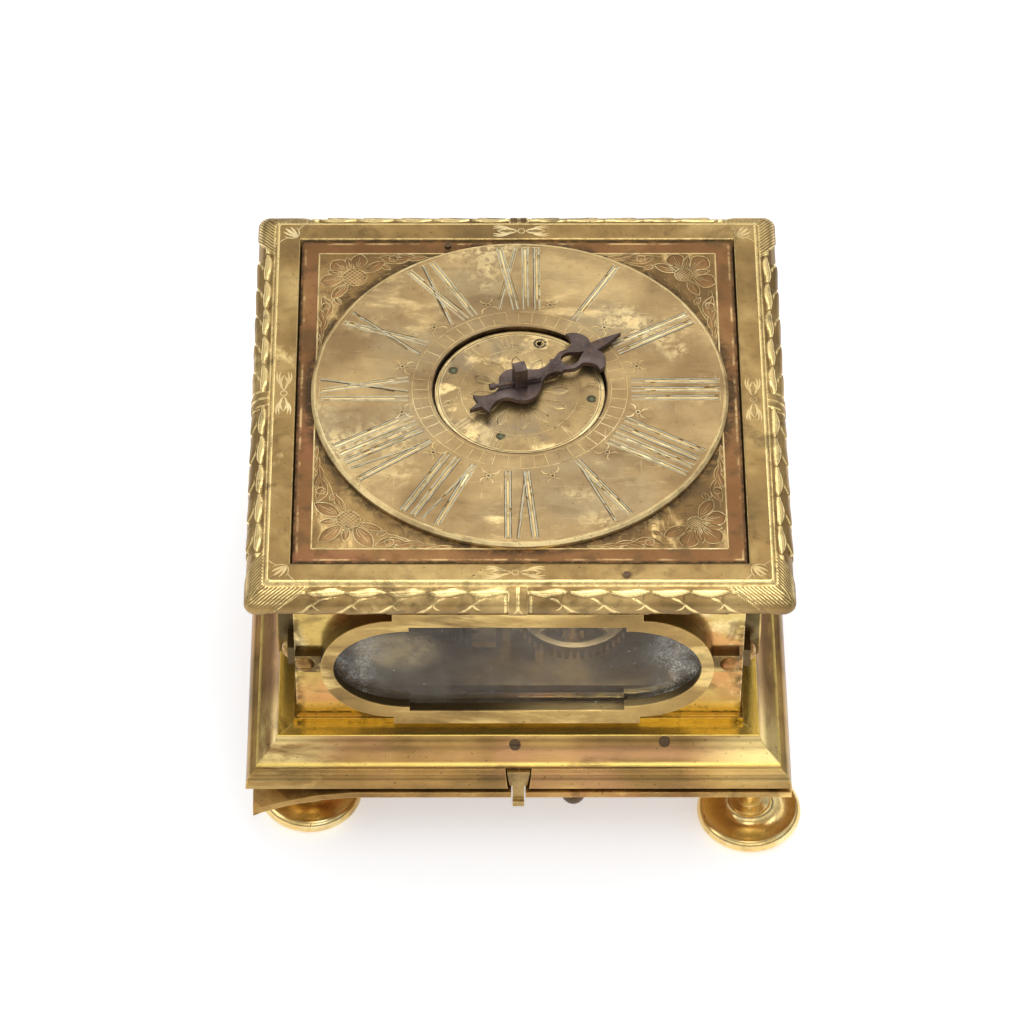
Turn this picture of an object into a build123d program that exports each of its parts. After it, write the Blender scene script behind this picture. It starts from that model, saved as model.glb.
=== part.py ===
"""Horizontal table clock: a square gilt-brass case with four glazed sides, a single-handed hour dial with an
alarm disc on top, a verge movement with a striking train inside, and a hinged base plate on turned feet.

Millimetres. +Z is up, the feet stand on z = 0, the front (the side with the catch) faces -Y.
"""

import os
from math import acos, atan2, cos, degrees, hypot, pi, radians, sin

from build123d import *

# Top border
TOP_HALF = 60.0  # half the width over the border's half-round
BORDER_FLAT_Z = 85.0  # flat top of the border
ROLL_Z = 80.6  # centre height of the half-round
ROLL_A = 4.0  # its half width
ROLL_B = 3.6  # its half height
ARRIS_IN = 4.9  # outer edge of the flat, in from the half-round
BORDER_W = 10.13  # in to the opening for the dial plate
LEDGE_W = 2.37  # ledge that carries the dial plate
LEDGE_T = 1.6
BORDER_RIVET_X = 23.2
BORDER_RIVET_IN = 7.0
BORDER_RIVET_R = 0.9

# Walls and their plinth
WALL_HALF = 49.7  # half the width over the wall plates
WALL_T = 1.5
PLINTH_H = 1.7
PLINTH_OUT = 0.8

# Base moulding: half widths and heights of its profile
BASE_BOTTOM = 20.9
BASE_HALF = 61.3
BAND_CHAMFER = 0.7
BAND_TOP = 25.4
BAND_TOP_IN = 1.8
FILLET_IN = 2.4
FILLET_Z = 27.0
QUIRK_H = 0.3
SHELF_IN = 7.3
SHELF_Z = 31.7  # the shelf that the walls stand on

# Screw and plug on the front of the base moulding
BASE_SCREW_X = -0.8
BASE_PLUG_X = 32.7
BASE_SCREW_UP = 0.66  # how far up the sloping face their heads are, as a share
BASE_PLUG_UP = 0.76
BASE_SCREW_R = 1.25
BASE_SCREW_LENGTH = 3.5
BASE_SCREW_PROUD = 0.25
SLOT_W = 0.35
SLOT_DEPTH = 0.35

# Dial
DIAL_X = 0.3
DIAL_Y = 1.2
DIAL_PLATE_T = 2.0
DIAL_PLATE_SINK = 0.3  # below the border's flat
DIAL_PLATE_GAP = 0.45
RING_MARGIN = 3.17  # from the ring to the opening's edge
RING_HOLE_R = 19.45
RING_T = 1.4
RING_BEVEL = 0.6
RECESS_FLOOR = 0.7  # brass left under the alarm disc
NUMERAL_OUTER_IN = 2.5  # from the ring's edge to the numerals' outer ends
NUMERAL_H = 16.2
NARROW_LETTER_W = 2.6
WIDE_LETTER_W = 5.6
LETTER_SPACE = 0.3
NUMERAL_DEPTH = 0.25
THICK_STROKE = 1.3
THIN_STROKE = 0.55
ALARM_DISC_R = 19.0
ALARM_DISC_T = 0.9
ALARM_DISC_SINK = 1.05  # its face below the ring's face
ALARM_PIPE_WALL = 1.2
ALARM_PIPE_LENGTH = 9.0
PEG_HOLE_R = 0.75
PEG_CIRCLE_R = 15.9
PEG_START = 73.0  # angle of the open peg hole, the first of four
DIAL_PIN_X = -15.9
DIAL_PIN_IN = 2.07  # from the opening's edge
DIAL_PIN_R = 0.75
DIAL_PIN_PROUD = 0.5

# Hand: its outline is drawn along +X from the arbor, tip outwards
HAND_ANGLE = 35.0  # of the tip from +X, as photographed
HAND_T = 1.2
HAND_RISE = 0.5  # above the ring's face
HAND_COLLAR_R = 3.2
HAND_COLLAR_GAP = 0.3  # above the alarm disc
HAND_RUNS = [  # one side of its outline from the tail to the tip, smooth between its corners
    [(-13.6, 0.0), (-10.9, 0.7)],
    [(-10.9, 0.7), (-10.5, 3.3)],
    [(-10.5, 3.3), (-8.6, 1.7), (-6.4, 1.2), (-4.6, 1.75), (-3.0, 3.9),
     (0.0, 5.15), (2.8, 3.9), (4.6, 2.3), (9.3, 1.65)],
    [(9.3, 1.65), (10.0, 2.4)],
    [(10.0, 2.4), (10.7, 2.05), (12.2, 2.75), (13.9, 3.0), (15.4, 2.8), (16.9, 3.9), (17.3, 6.7)],
    [(17.3, 6.7), (19.1, 6.1), (20.2, 4.9), (20.8, 3.2), (20.3, 1.4)],
    [(20.3, 1.4), (23.5, 0.95), (27.9, 0.0)],
]
HAND_EYE = [(11.8, 0.0), (12.6, 1.6), (14.0, 1.95), (15.8, 1.1), (17.8, 0.0)]
SQUARE = 2.8  # the arbor's squared end
SQUARE_TURN = 15.0  # from +X, with the pin through its faces
SQUARE_FIT = 0.04
SQUARE_ABOVE_HAND = 5.6
HAND_PIN_R = 0.45
HAND_PIN_HOLE_R = 0.5
HAND_PIN_LIFT = 0.85  # its centre above the hand
HAND_PIN_ENDS = (-7.0, 5.0)
HAND_PIN_KNOB_R = 0.75
HAND_PIN_KNOB_LENGTH = 1.2

# Windows
BEZEL_MID_Z = 53.9
BEZEL_X = -0.4  # the bezels sit a little to the left
BEZEL_OUT = 4.0  # stands proud of the wall
BEZEL_IN = 6.2  # each end, inside the wall's edge
BEZEL_STRIP = 2.8  # width of its frame at the ends
BEZEL_EAR_IN = 16.0  # the ears' ends, inside the bezel's ends
SIGHT_EAR_IN = 3.6  # the opening's ears, inside the bezel's
BEZEL_END_HALF = WALL_HALF - BEZEL_IN
BEZEL_END_H = 16.2
BEZEL_EAR_HALF = BEZEL_END_HALF - BEZEL_EAR_IN
BEZEL_EAR_H = 18.5
SIGHT_END_HALF = BEZEL_END_HALF - BEZEL_STRIP
SIGHT_END_H = 12.9
SIGHT_EAR_HALF = BEZEL_EAR_HALF - SIGHT_EAR_IN
SIGHT_EAR_H = 14.2
GLASS_T = 1.5
GLASS_SINK = 2.3
GLASS_LAP = 0.9
GLASS_FIT = 0.05
LUG_IN = 0.5  # each end, inside the wall's edge
LUG_END = WALL_HALF - LUG_IN
LUG_H = 5.4
LUG_DROP = 0.9  # below the bezel's middle
LUG_T = 1.6
LUG_SCREW_IN = 2.2  # from the lug's end
LUG_SCREW_X = LUG_END - LUG_SCREW_IN
LUG_SCREW_R = 2.1
LUG_SCREW_H = 1.3
LUG_SHANK_R = 0.65

# Base plate
PLATE_OUT = 0.1  # past the base moulding at the front and back
PLATE_NARROW = 1.4  # narrower than it is deep
PLATE_X = 0.8  # and it sits to the right
PLATE_T = 1.7
PLATE_GAP = 0.6  # below the base moulding
BENT_FROM = 16.0  # from the corner to the crease, along the diagonal
BENT_REACH = 1.3  # the strip runs this many times as far, and is cut to the plate's edges
BENT_STEPS = 4
BENT_ANGLE = 40.0
HINGE_OUT = 1.1  # past the base moulding
HINGE_R = 1.3
HINGE_PIN_R = 0.55
HINGE_PIN_CLEAR = 0.05
KNUCKLE_HALF = 6.0  # half the length of the plate's knuckle
HINGE_HALF = 18.0
KNUCKLE_GAP = 0.2
HINGE_SWING_GAP = 0.5
HINGE_LEAF_H = 3.2
HINGE_LEAF_T = 0.8
HINGE_NOTCH_GAP = 1.0

# Catch: a sprung tab in a dovetail slot of the front moulding
CATCH_W = 2.6
CATCH_T = 1.3
CATCH_DROP = 6.2  # below the base moulding
CATCH_LIP_H = 1.6
CATCH_LIP_OUT = 0.9
CATCH_HEAD_H = 4.6
CATCH_HEAD_HALF = 2.0
CATCH_HEAD_TOP_HALF = 2.6
CATCH_SINK = 1.4  # its face, in from the moulding's widest line
CATCH_HEAD_DEPTH = 2.6
CATCH_CLEAR = 0.3
NIB = 0.9
NIB_H = 1.2

# Domed screw under the base plate
BUTTON_X = 12.4
BUTTON_IN = 4.2  # from the plate's front edge
BUTTON_R = 2.8
BUTTON_H = 1.5
BUTTON_SHANK_R = 1.0

# Feet
FEET_IN = {  # in from the base moulding's widest lines, as photographed; the back ones are not seen
    "foot_front_left": (13.8, 15.3),
    "foot_front_right": (8.5, 9.45),
    "foot_back_left": (8.5, 9.45),
    "foot_back_right": (12.3, 12.3),
}
FOOT_R = 11.7
FOOT_FLAT_R = 9.7
FOOT_RIM_Z = 3.2
FOOT_RIM_TOP = 4.2
FOOT_DISH_R = 8.0
FOOT_DISH_Z = 3.6
FOOT_RING_R = 4.5
FOOT_RING_Z = 5.2
FOOT_RING_H = 1.0
FOOT_NECK_R = 2.7
FOOT_BULB_R = 4.2
FOOT_COLLAR_R = 4.4
FOOT_COLLAR_H = 1.8
FOOT_COLLAR_NECK_R = 3.1
FOOT_RIM_IN = 0.9
FOOT_EDGE_IN = 1.3
FOOT_EDGE_Z = 0.5
FOOT_BULB_LIFT = 2.0
FOOT_NECK_H = 0.4

# Movement plates
MOVE_IN = 6.7  # from the walls' faces to the plates' edges
MOVE_T = 2.0
LOWER_Z = 34.0
UPPER_Z = 62.0
PILLAR_IN = 5.5
PILLAR_R = 2.6
PILLAR_KNOP_R = 3.8
PILLAR_FOOT_H = 1.5
PILLAR_TAPER_H = 3.0
RAIL_W = 5.0  # half the width of the rails that tie the lower plate to the case
PIVOT_R = 0.7
PIVOT_CLEAR = 0.06
END_SHAKE = 0.25
ARBOR_R = 1.4
FINE_ARBOR_R = 0.9
HOUR_ARBOR_R = 2.25
HOUR_PIVOT_R = 1.4
DIAL_FOOT_AT = 30.0
DIAL_FOOT_R = 1.8
WHEEL_T = 1.5
HUB_R = 2.6
HOUR_HUB_R = 4.0
RIM_W = 1.5
SPOKES = 4
CROWN_SPOKES = 3
SPOKE_W = 1.7
SPOKE_LAP = 0.4
PINION_OVER = 0.5  # a pinion stands past its wheel on each side

# Wheel work: teeth, leaves and module of each pair
HOUR_TEETH, REPORT_LEAVES, MOTION_MODULE = 36, 12, 0.6
GREAT_TEETH, SECOND_LEAVES, GREAT_MODULE = 56, 8, 0.55
SECOND_TEETH, CONTRATE_LEAVES, SECOND_MODULE = 52, 8, 0.5
CONTRATE_TEETH, CROWN_LEAVES, CONTRATE_R = 48, 8, 12.5
STRIKE_TEETH, PIN_LEAVES, STRIKE_MODULE = 60, 8, 0.5
PIN_TEETH, FLY_LEAVES, PIN_MODULE = 48, 8, 0.45
CROWN_TEETH = 15
TOOTH_TIP = 0.8  # heights above and below the pitch line, in modules
TOOTH_ROOT = 1.2
TOOTH_TIP_SHARE = 0.09  # half widths as shares of the pitch
TOOTH_ROOT_SHARE = 0.24

# Places of the arbors, seen from above
FUSEE_ANGLE = -130.0
CONTRATE_X = 12.5
CONTRATE_Y = -29.5
STRIKE_X = 20.0
STRIKE_Y = 24.0
PIN_ANGLE = -60.0
FLY_ANGLE = 200.0
BARREL_X = -28.0
BARREL_Y = 17.0
VERGE_X = -13.2

# Levels
HOUR_WHEEL_Z = 66.0
GREAT_WHEEL_Z = 57.8
LOW_WHEEL_Z = 37.2  # second wheel and striking great wheel
PIN_WHEEL_Z = 56.2
CONTRATE_WEB_Z = 47.2
CONTRATE_TOOTH = 2.6
CONTRATE_BAND = 1.5
CONTRATE_TIP_SHARE = 0.3  # of half a pitch
CONTRATE_ROOT_SHARE = 0.75
DRUM_LOW = 40.6
DRUM_HIGH = 55.0

# Drums, fusee and the gut line between them
BARREL_R = 12.5
BARREL_EDGE = 0.8  # its raised edges over the drum, and their thickness
STRIKE_DRUM_R = 11.5
FUSEE_LOW_R = 11.0
FUSEE_HIGH_R = 6.0
FUSEE_TURNS = 7
FUSEE_GROOVE = 0.7
GUT_R = 0.4
GUT_CLEAR = 0.3
GUT_LIFT = 3.0
GROOVE_TOP_SHARE = 0.2  # of a turn's rise
GROOVE_LOW_SHARE = 0.6

# Crown wheel, verge and balance
CROWN_R = 6.3
CROWN_WEB_X = -6.6
CROWN_DEPTH = 4.0
CROWN_BAND = 0.8
CROWN_TOOTH = 2.2
CROWN_PINION_HALF = 1.5
CROWN_GAP_SHARES = (0.15, 0.85, 0.9)  # of the pitch: steep flank, root and tip of the sloping one
PALLET_REACH = 2.2
PALLET_W = 1.6
PALLET_T = 0.6
POTENCE_T = 1.8
POTENCE_HALF = 1.7
POTENCE_RIGHT_X = 3.8
POTENCE_FOOT_OUT = (6.4, 3.9)  # its foot, in front of the level arbor
BALANCE_R = 14.0
BALANCE_Z = 29.6
BALANCE_T = 1.2
BALANCE_RIM = 1.8
BALANCE_ARM_W = 1.6
BALANCE_GAP = 3.0  # from the balance to the base moulding
COCK_Z = 26.4
COCK_T = 1.6
COCK_LEG_GAP = 4.3  # from the balance
COCK_LEG_W = 4.5
COCK_HALF = 3.0

# Fly and striking pins
FLY_HALF = 4.8
FLY_LOW, FLY_HIGH = 42.0, 52.0
FLY_T = 0.7
PIN_CIRCLE_R = 8.0
PIN_COUNT = 8
PIN_R = 0.6
PIN_H = 2.4
PIN_BAND_HALF = 1.0

# Bell and hammer
BELL_X = 5.0
BELL_Y = 13.0
BELL_R = 28.0
BELL_CROWN_R = 17.0
BELL_LOW = 23.4
BELL_HIGH = 33.0
BELL_T = 1.3
BELL_POST_R = 2.2
BELL_STUD_R = 1.3
BELL_NUT_R = 3.0
BELL_NUT_H = 1.1
HAMMER_X = 36.0
HAMMER_Y = -14.0
HAMMER_BEARING = -30.0  # direction of the blow from the bell's centre
HAMMER_REST_GAP = 0.6
HAMMER_HEAD_R = 2.3
HAMMER_LOW, HAMMER_HIGH = 27.4, 31.6
HAMMER_ARM_W = 2.0
HAMMER_ARM_T = 1.4
HAMMER_TAIL_GAP = 0.6

# Worked out from the sizes above
CENTRE = (DIAL_X, DIAL_Y)
CONTRATE_AT = (CONTRATE_X, CONTRATE_Y)
STRIKE_AT = (STRIKE_X, STRIKE_Y)
BARREL_AT = (BARREL_X, BARREL_Y)
BELL_AT = (BELL_X, BELL_Y)
HAMMER_AT = (HAMMER_X, HAMMER_Y)
ARRIS_HALF = TOP_HALF - ARRIS_IN
OPENING_HALF = TOP_HALF - BORDER_W
LEDGE_HALF = OPENING_HALF - LEDGE_W
BORDER_RIVET = (BORDER_RIVET_X, BORDER_RIVET_IN - TOP_HALF)
DIAL_PIN = (DIAL_PIN_X, OPENING_HALF - DIAL_PIN_IN)
RING_R = OPENING_HALF - RING_MARGIN
NUMERAL_OUTER_R = RING_R - NUMERAL_OUTER_IN
NUMERAL_INNER_R = NUMERAL_OUTER_R - NUMERAL_H
BAND_TOP_HALF = BASE_HALF - BAND_TOP_IN
FILLET_HALF = BASE_HALF - FILLET_IN
SHELF_HALF = BASE_HALF - SHELF_IN
BASE_INNER_HALF = BALANCE_R - CONTRATE_Y + BALANCE_GAP
PLATE_HALF = BASE_HALF + PLATE_OUT
PLATE_HALF_X = PLATE_HALF - PLATE_NARROW / 2
PLATE_CORNER = (PLATE_X - PLATE_HALF_X, -PLATE_HALF)
HINGE_Y = BASE_HALF + HINGE_OUT
CATCH_Y = BASE_HALF - CATCH_SINK
BUTTON_AT = (BUTTON_X, BUTTON_IN - PLATE_HALF)
MOVE_HALF = WALL_HALF - MOVE_IN
PILLAR_AT = MOVE_HALF - PILLAR_IN
PLATE_TOP = BASE_BOTTOM - PLATE_GAP
PLATE_BOTTOM = PLATE_TOP - PLATE_T
HINGE_Z = PLATE_BOTTOM + HINGE_R
WALL_TOP = ROLL_Z - ROLL_B
DIAL_PLATE_TOP = BORDER_FLAT_Z - DIAL_PLATE_SINK
DIAL_PLATE_BOTTOM = DIAL_PLATE_TOP - DIAL_PLATE_T
RING_TOP = DIAL_PLATE_TOP + RING_T
ALARM_DISC_TOP = RING_TOP - ALARM_DISC_SINK
ALARM_DISC_BOTTOM = ALARM_DISC_TOP - ALARM_DISC_T
RECESS_Z = DIAL_PLATE_BOTTOM + RECESS_FLOOR
HAND_BOTTOM = RING_TOP + HAND_RISE
HAND_TOP = HAND_BOTTOM + HAND_T
COLLAR_Z = ALARM_DISC_TOP + HAND_COLLAR_GAP
SQUARE_TOP = HAND_TOP + SQUARE_ABOVE_HAND
LOWER_TOP = LOWER_Z + MOVE_T
UPPER_TOP = UPPER_Z + MOVE_T
PIVOT_HOLE_R = PIVOT_R + PIVOT_CLEAR
HOUR_HOLE_R = HOUR_ARBOR_R + PIVOT_CLEAR
ALARM_PIPE_R = HOUR_HOLE_R + ALARM_PIPE_WALL
BEZEL_FRONT = WALL_HALF + BEZEL_OUT
GLASS_FRONT = BEZEL_FRONT - GLASS_SINK
BEYOND = 100.0  # further than anything reaches
CUT = 1.0  # how far a cut runs past a face, or a joined piece into its neighbour
UP = (Align.CENTER, Align.CENTER, Align.MIN)
SIDES = {"front": 0, "right": 90, "back": 180, "left": 270}


def polar(start, angle, distance):
    """The point at a distance and angle, in degrees, from a start point."""
    return (start[0] + distance * cos(radians(angle)), start[1] + distance * sin(radians(angle)))


def heading(a, b):
    """The direction from a to b, in degrees."""
    return degrees(atan2(b[1] - a[1], b[0] - a[0]))


def pitch_r(teeth, module):
    return teeth * module / 2


def meeting_point(a, radius_a, b, radius_b):
    """The point at given distances from a and b, on the left of the way from a to b."""
    apart = hypot(b[0] - a[0], b[1] - a[1])
    turn = degrees(acos((radius_a**2 + apart**2 - radius_b**2) / (2 * radius_a * apart)))
    return polar(a, heading(a, b) + turn, radius_a)


FUSEE_AT = polar(CENTRE, FUSEE_ANGLE, pitch_r(HOUR_TEETH + REPORT_LEAVES, MOTION_MODULE))
SECOND_AT = meeting_point(
    FUSEE_AT,
    pitch_r(GREAT_TEETH + SECOND_LEAVES, GREAT_MODULE),
    CONTRATE_AT,
    pitch_r(SECOND_TEETH + CONTRATE_LEAVES, SECOND_MODULE),
)
PIN_AT = polar(STRIKE_AT, PIN_ANGLE, pitch_r(STRIKE_TEETH + PIN_LEAVES, STRIKE_MODULE))
FLY_AT = polar(PIN_AT, FLY_ANGLE, pitch_r(PIN_TEETH + FLY_LEAVES, PIN_MODULE))
VERGE_AT = (VERGE_X, CONTRATE_AT[1])
CROWN_PITCH_R = CONTRATE_R * CROWN_LEAVES / CONTRATE_TEETH
CROWN_MODULE = 2 * CONTRATE_R / CONTRATE_TEETH
CROWN_Z = CONTRATE_WEB_Z - CONTRATE_TOOTH + TOOTH_TIP * CROWN_MODULE - CROWN_PITCH_R


def rod(radius, low, high, where=(0.0, 0.0)):
    """An upright cylinder between two heights."""
    return Pos(where[0], where[1], low) * Cylinder(radius, high - low, align=UP)


def block(x_span, y_span, z_span):
    """A box between its corners."""
    centre = [(low + high) / 2 for low, high in (x_span, y_span, z_span)]
    return Pos(*centre) * Box(*[high - low for low, high in (x_span, y_span, z_span)])


def upright(face, low, high, where=(0.0, 0.0), turn=0.0):
    """A flat outline raised between two heights."""
    return Pos(where[0], where[1], low) * Rot(0, 0, turn) * extrude(face, high - low)


def level_rod(radius, x_low, x_high, y, z):
    """A cylinder along X."""
    return Pos(x_low, y, z) * Rot(0, 90, 0) * Cylinder(radius, x_high - x_low, align=UP)


def turned(outline):
    """A turned solid from a closed outline of curves in the XZ plane."""
    return revolve(make_face(outline), axis=Axis.Z)


def front_wedge(low, high):
    """The quarter of space on the front side of the two mitre planes."""
    corners = [(0, 0), (BEYOND, -BEYOND), (-BEYOND, -BEYOND)]
    return upright(make_face(Polyline(*corners, close=True)), low, high)


def on_side(shape, side):
    """A shape made for the front, turned to the side it belongs to."""
    return Rot(0, 0, SIDES[side]) * shape


def front_moulding(outline, low, high):
    """A straight moulding along the front with mitred ends; the outline is drawn with x outwards."""
    bar = extrude(make_face(outline), BEYOND, both=True)
    return (Rot(0, 0, -90) * bar) & front_wedge(low - CUT, high + CUT)


# Case


def border_outline():
    """Flat top, small hollow and half-round, with the ledge that carries the dial plate."""
    roll_centre = TOP_HALF - ROLL_A
    bottom = ROLL_Z - ROLL_B
    crest = ROLL_Z + ROLL_B
    roll = Spline(
        (roll_centre, 0, bottom),
        (TOP_HALF, 0, ROLL_Z),
        (roll_centre, 0, crest),
        tangents=[(1, 0, 0), (-1, 0, 0)],
    )
    hollow = Line((roll_centre, 0, crest), (ARRIS_HALF, 0, BORDER_FLAT_Z))
    ledge_top = DIAL_PLATE_BOTTOM
    inside = Polyline(
        (ARRIS_HALF, 0, BORDER_FLAT_Z),
        (OPENING_HALF, 0, BORDER_FLAT_Z),
        (OPENING_HALF, 0, ledge_top),
        (LEDGE_HALF, 0, ledge_top),
        (LEDGE_HALF, 0, ledge_top - LEDGE_T),
        (WALL_HALF - WALL_T, 0, ledge_top - LEDGE_T),
        (WALL_HALF - WALL_T, 0, bottom),
        (roll_centre, 0, bottom),
    )
    return Curve() + [roll, hollow, inside]


def base_cyma():
    """The sloping face of the base moulding, with x outwards."""
    ends = (FILLET_HALF, 0, FILLET_Z), (SHELF_HALF, 0, SHELF_Z)
    return Spline(*ends, tangents=[(-0.9, 0, 0.6), (-0.25, 0, 1)])


def base_outline():
    """Round lower band, quirk and fillet, then a cyma up to the shelf."""
    band_low = (BASE_HALF, 0, BASE_BOTTOM + BAND_CHAMFER)
    band = Spline(band_low, (BAND_TOP_HALF, 0, BAND_TOP), tangents=[(0, 0, 1), (-1, 0, 0.35)])
    quirk_top = (FILLET_HALF, 0, BAND_TOP + QUIRK_H)
    quirk = Line((BAND_TOP_HALF, 0, BAND_TOP), quirk_top)
    fillet_line = Line(quirk_top, (FILLET_HALF, 0, FILLET_Z))
    inside = Polyline(
        (SHELF_HALF, 0, SHELF_Z),
        (BASE_INNER_HALF, 0, SHELF_Z),
        (BASE_INNER_HALF, 0, BASE_BOTTOM),
        (BASE_HALF - BAND_CHAMFER, 0, BASE_BOTTOM),
        band_low,
    )
    return Curve() + [band, quirk, fillet_line, base_cyma(), inside]


def on_slope(x, share):
    """A place on the moulding's sloping face, its Z square to the face and outwards."""
    where, along = base_cyma() @ share, base_cyma() % share
    return Pos(x, -where.X, where.Z) * Rot(degrees(atan2(along.Z, -along.X)), 0, 0)


def tilted_pin(x, share):
    """A pin square to the moulding's sloping face, head outwards."""
    body = Cylinder(BASE_SCREW_R, BASE_SCREW_LENGTH + BASE_SCREW_PROUD)
    return on_slope(x, share) * (Pos(0, 0, (BASE_SCREW_PROUD - BASE_SCREW_LENGTH) / 2) * body)


def base_screws():
    """A slotted screw and a plain plug in the front moulding."""
    slot = Pos(0, 0, BASE_SCREW_PROUD) * Box(3 * BASE_SCREW_R, SLOT_W, 2 * SLOT_DEPTH)
    screw = tilted_pin(BASE_SCREW_X, BASE_SCREW_UP) - on_slope(BASE_SCREW_X, BASE_SCREW_UP) * slot
    return Compound(children=[screw, tilted_pin(BASE_PLUG_X, BASE_PLUG_UP)])


def catch_outline(clear):
    """Dovetail head of the catch, seen from the front, with a clearance all round."""
    low = BASE_BOTTOM - clear
    high = BASE_BOTTOM + CATCH_HEAD_H + clear
    return [
        (-CATCH_HEAD_HALF - clear, 0, low),
        (CATCH_HEAD_HALF + clear, 0, low),
        (CATCH_HEAD_TOP_HALF + clear, 0, high),
        (-CATCH_HEAD_TOP_HALF - clear, 0, high),
    ]


def catch_slot():
    """The slot that the catch slides in, open to the front and below."""
    face = make_face(Polyline(*catch_outline(CATCH_CLEAR), close=True))
    depth = CATCH_Y - CATCH_HEAD_DEPTH - CATCH_CLEAR
    return Pos(0, -depth, 0) * extrude(face, BEYOND, dir=(0, -1, 0))


def catch():
    """Head flush with the moulding, a tab below it and a nib that reaches in to the base plate's edge."""
    face = make_face(Polyline(*catch_outline(0), close=True))
    head = Pos(0, -CATCH_Y + CATCH_HEAD_DEPTH, 0) * extrude(face, CATCH_HEAD_DEPTH, dir=(0, -1, 0))
    half = CATCH_W / 2
    back = -CATCH_Y + CATCH_T
    tip = BASE_BOTTOM - CATCH_DROP
    tab = block((-half, half), (-CATCH_Y, back), (tip, BASE_BOTTOM + CUT))
    nib = block((-half, half), (-CATCH_Y, back + NIB), (PLATE_BOTTOM - NIB_H, PLATE_BOTTOM - CATCH_CLEAR))
    lip = block((-half, half), (-CATCH_Y - CATCH_LIP_OUT, back), (tip, tip + CATCH_LIP_H))
    return head + tab + nib + lip


def side_base(side):
    shape = front_moulding(base_outline(), BASE_BOTTOM, SHELF_Z)
    if side == "front":
        shape -= catch_slot()
        shape -= tilted_pin(BASE_SCREW_X, BASE_SCREW_UP) + tilted_pin(BASE_PLUG_X, BASE_PLUG_UP)
    return on_side(shape, side)


def side_border(side):
    shape = front_moulding(border_outline(), ROLL_Z - ROLL_B, BORDER_FLAT_Z)
    if side == "front":
        shape -= rod(BORDER_RIVET_R, DIAL_PLATE_BOTTOM - LEDGE_T, BORDER_FLAT_Z + CUT, BORDER_RIVET)
    return on_side(shape, side)


def window_outline(end_half, end_h, ear_half, ear_h, lap=0.0):
    """Rounded ends joined to a taller rectangle, as half width and half height from the middle."""
    face = Pos(ear_half, 0) * Ellipse(end_half - ear_half + lap, end_h + lap)
    face += Pos(-ear_half, 0) * Ellipse(end_half - ear_half + lap, end_h + lap)
    face += Rectangle(2 * ear_half, 2 * (end_h + lap))
    return face + Rectangle(2 * (ear_half + lap), 2 * (ear_h + lap))


def facing(face, front, depth):
    """A flat outline stood up to face the front, from its front plane back by a depth."""
    return Pos(BEZEL_X, -front, BEZEL_MID_Z) * Rot(90, 0, 0) * Pos(0, 0, -depth) * extrude(face, depth)


def sight(lap=0.0):
    return window_outline(SIGHT_END_HALF, SIGHT_END_H, SIGHT_EAR_HALF, SIGHT_EAR_H, lap)


def lug_screw(x, shank_r, head):
    """A domed screw that holds one lug of a bezel."""
    base = Pos(BEZEL_X + x, -WALL_HALF - LUG_T, BEZEL_MID_Z - LUG_DROP) * Rot(90, 0, 0)
    shank = base * (Pos(0, 0, -LUG_T - WALL_T) * Cylinder(shank_r, LUG_T + WALL_T, align=UP))
    if not head:
        return shank
    dome_r = (LUG_SCREW_R**2 + LUG_SCREW_H**2) / (2 * LUG_SCREW_H)
    dome = Pos(0, 0, LUG_SCREW_H - dome_r) * Sphere(dome_r)
    dome &= Cylinder(LUG_SCREW_R + CUT, LUG_SCREW_H, align=UP)
    slot = Pos(0, 0, LUG_SCREW_H) * Box(3 * LUG_SCREW_R, SLOT_W, 2 * SLOT_DEPTH)
    return shank + base * (dome - slot)


def side_wall(side):
    """A wall plate with a plinth round its foot, a window and holes for the bezel's screws."""
    back = -WALL_HALF + WALL_T
    plate = block((-BEYOND, BEYOND), (-WALL_HALF, back), (SHELF_Z, WALL_TOP))
    plate += block((-BEYOND, BEYOND), (-WALL_HALF - PLINTH_OUT, back), (SHELF_Z, SHELF_Z + PLINTH_H))
    plate &= front_wedge(SHELF_Z, WALL_TOP)
    plate -= facing(sight(), WALL_HALF + CUT, WALL_T + 2 * CUT)
    for x in (-LUG_SCREW_X, LUG_SCREW_X):
        plate -= lug_screw(x, LUG_SHANK_R, head=False)
    return on_side(plate, side)


def side_bezel(side):
    """The bezel, rebated from behind for the glass, with a lug at each end."""
    outer = window_outline(BEZEL_END_HALF, BEZEL_END_H, BEZEL_EAR_HALF, BEZEL_EAR_H)
    ring = facing(outer, BEZEL_FRONT, BEZEL_OUT)
    ring += facing(Pos(0, -LUG_DROP) * Rectangle(2 * LUG_END, LUG_H), WALL_HALF + LUG_T, LUG_T)
    ring -= facing(sight(), BEZEL_FRONT + CUT, BEZEL_OUT + 2 * CUT)
    ring -= facing(sight(GLASS_LAP), GLASS_FRONT, BEZEL_OUT)
    for x in (-LUG_SCREW_X, LUG_SCREW_X):
        ring -= lug_screw(x, LUG_SHANK_R, head=False)
    return on_side(ring, side)


def side_glass(side):
    return on_side(facing(sight(GLASS_LAP - GLASS_FIT), GLASS_FRONT, GLASS_T), side)


def side_screws(side):
    pair = [lug_screw(x, LUG_SHANK_R, head=True) for x in (-LUG_SCREW_X, LUG_SCREW_X)]
    return on_side(pair[0] + pair[1], side)


# Dial


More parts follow.
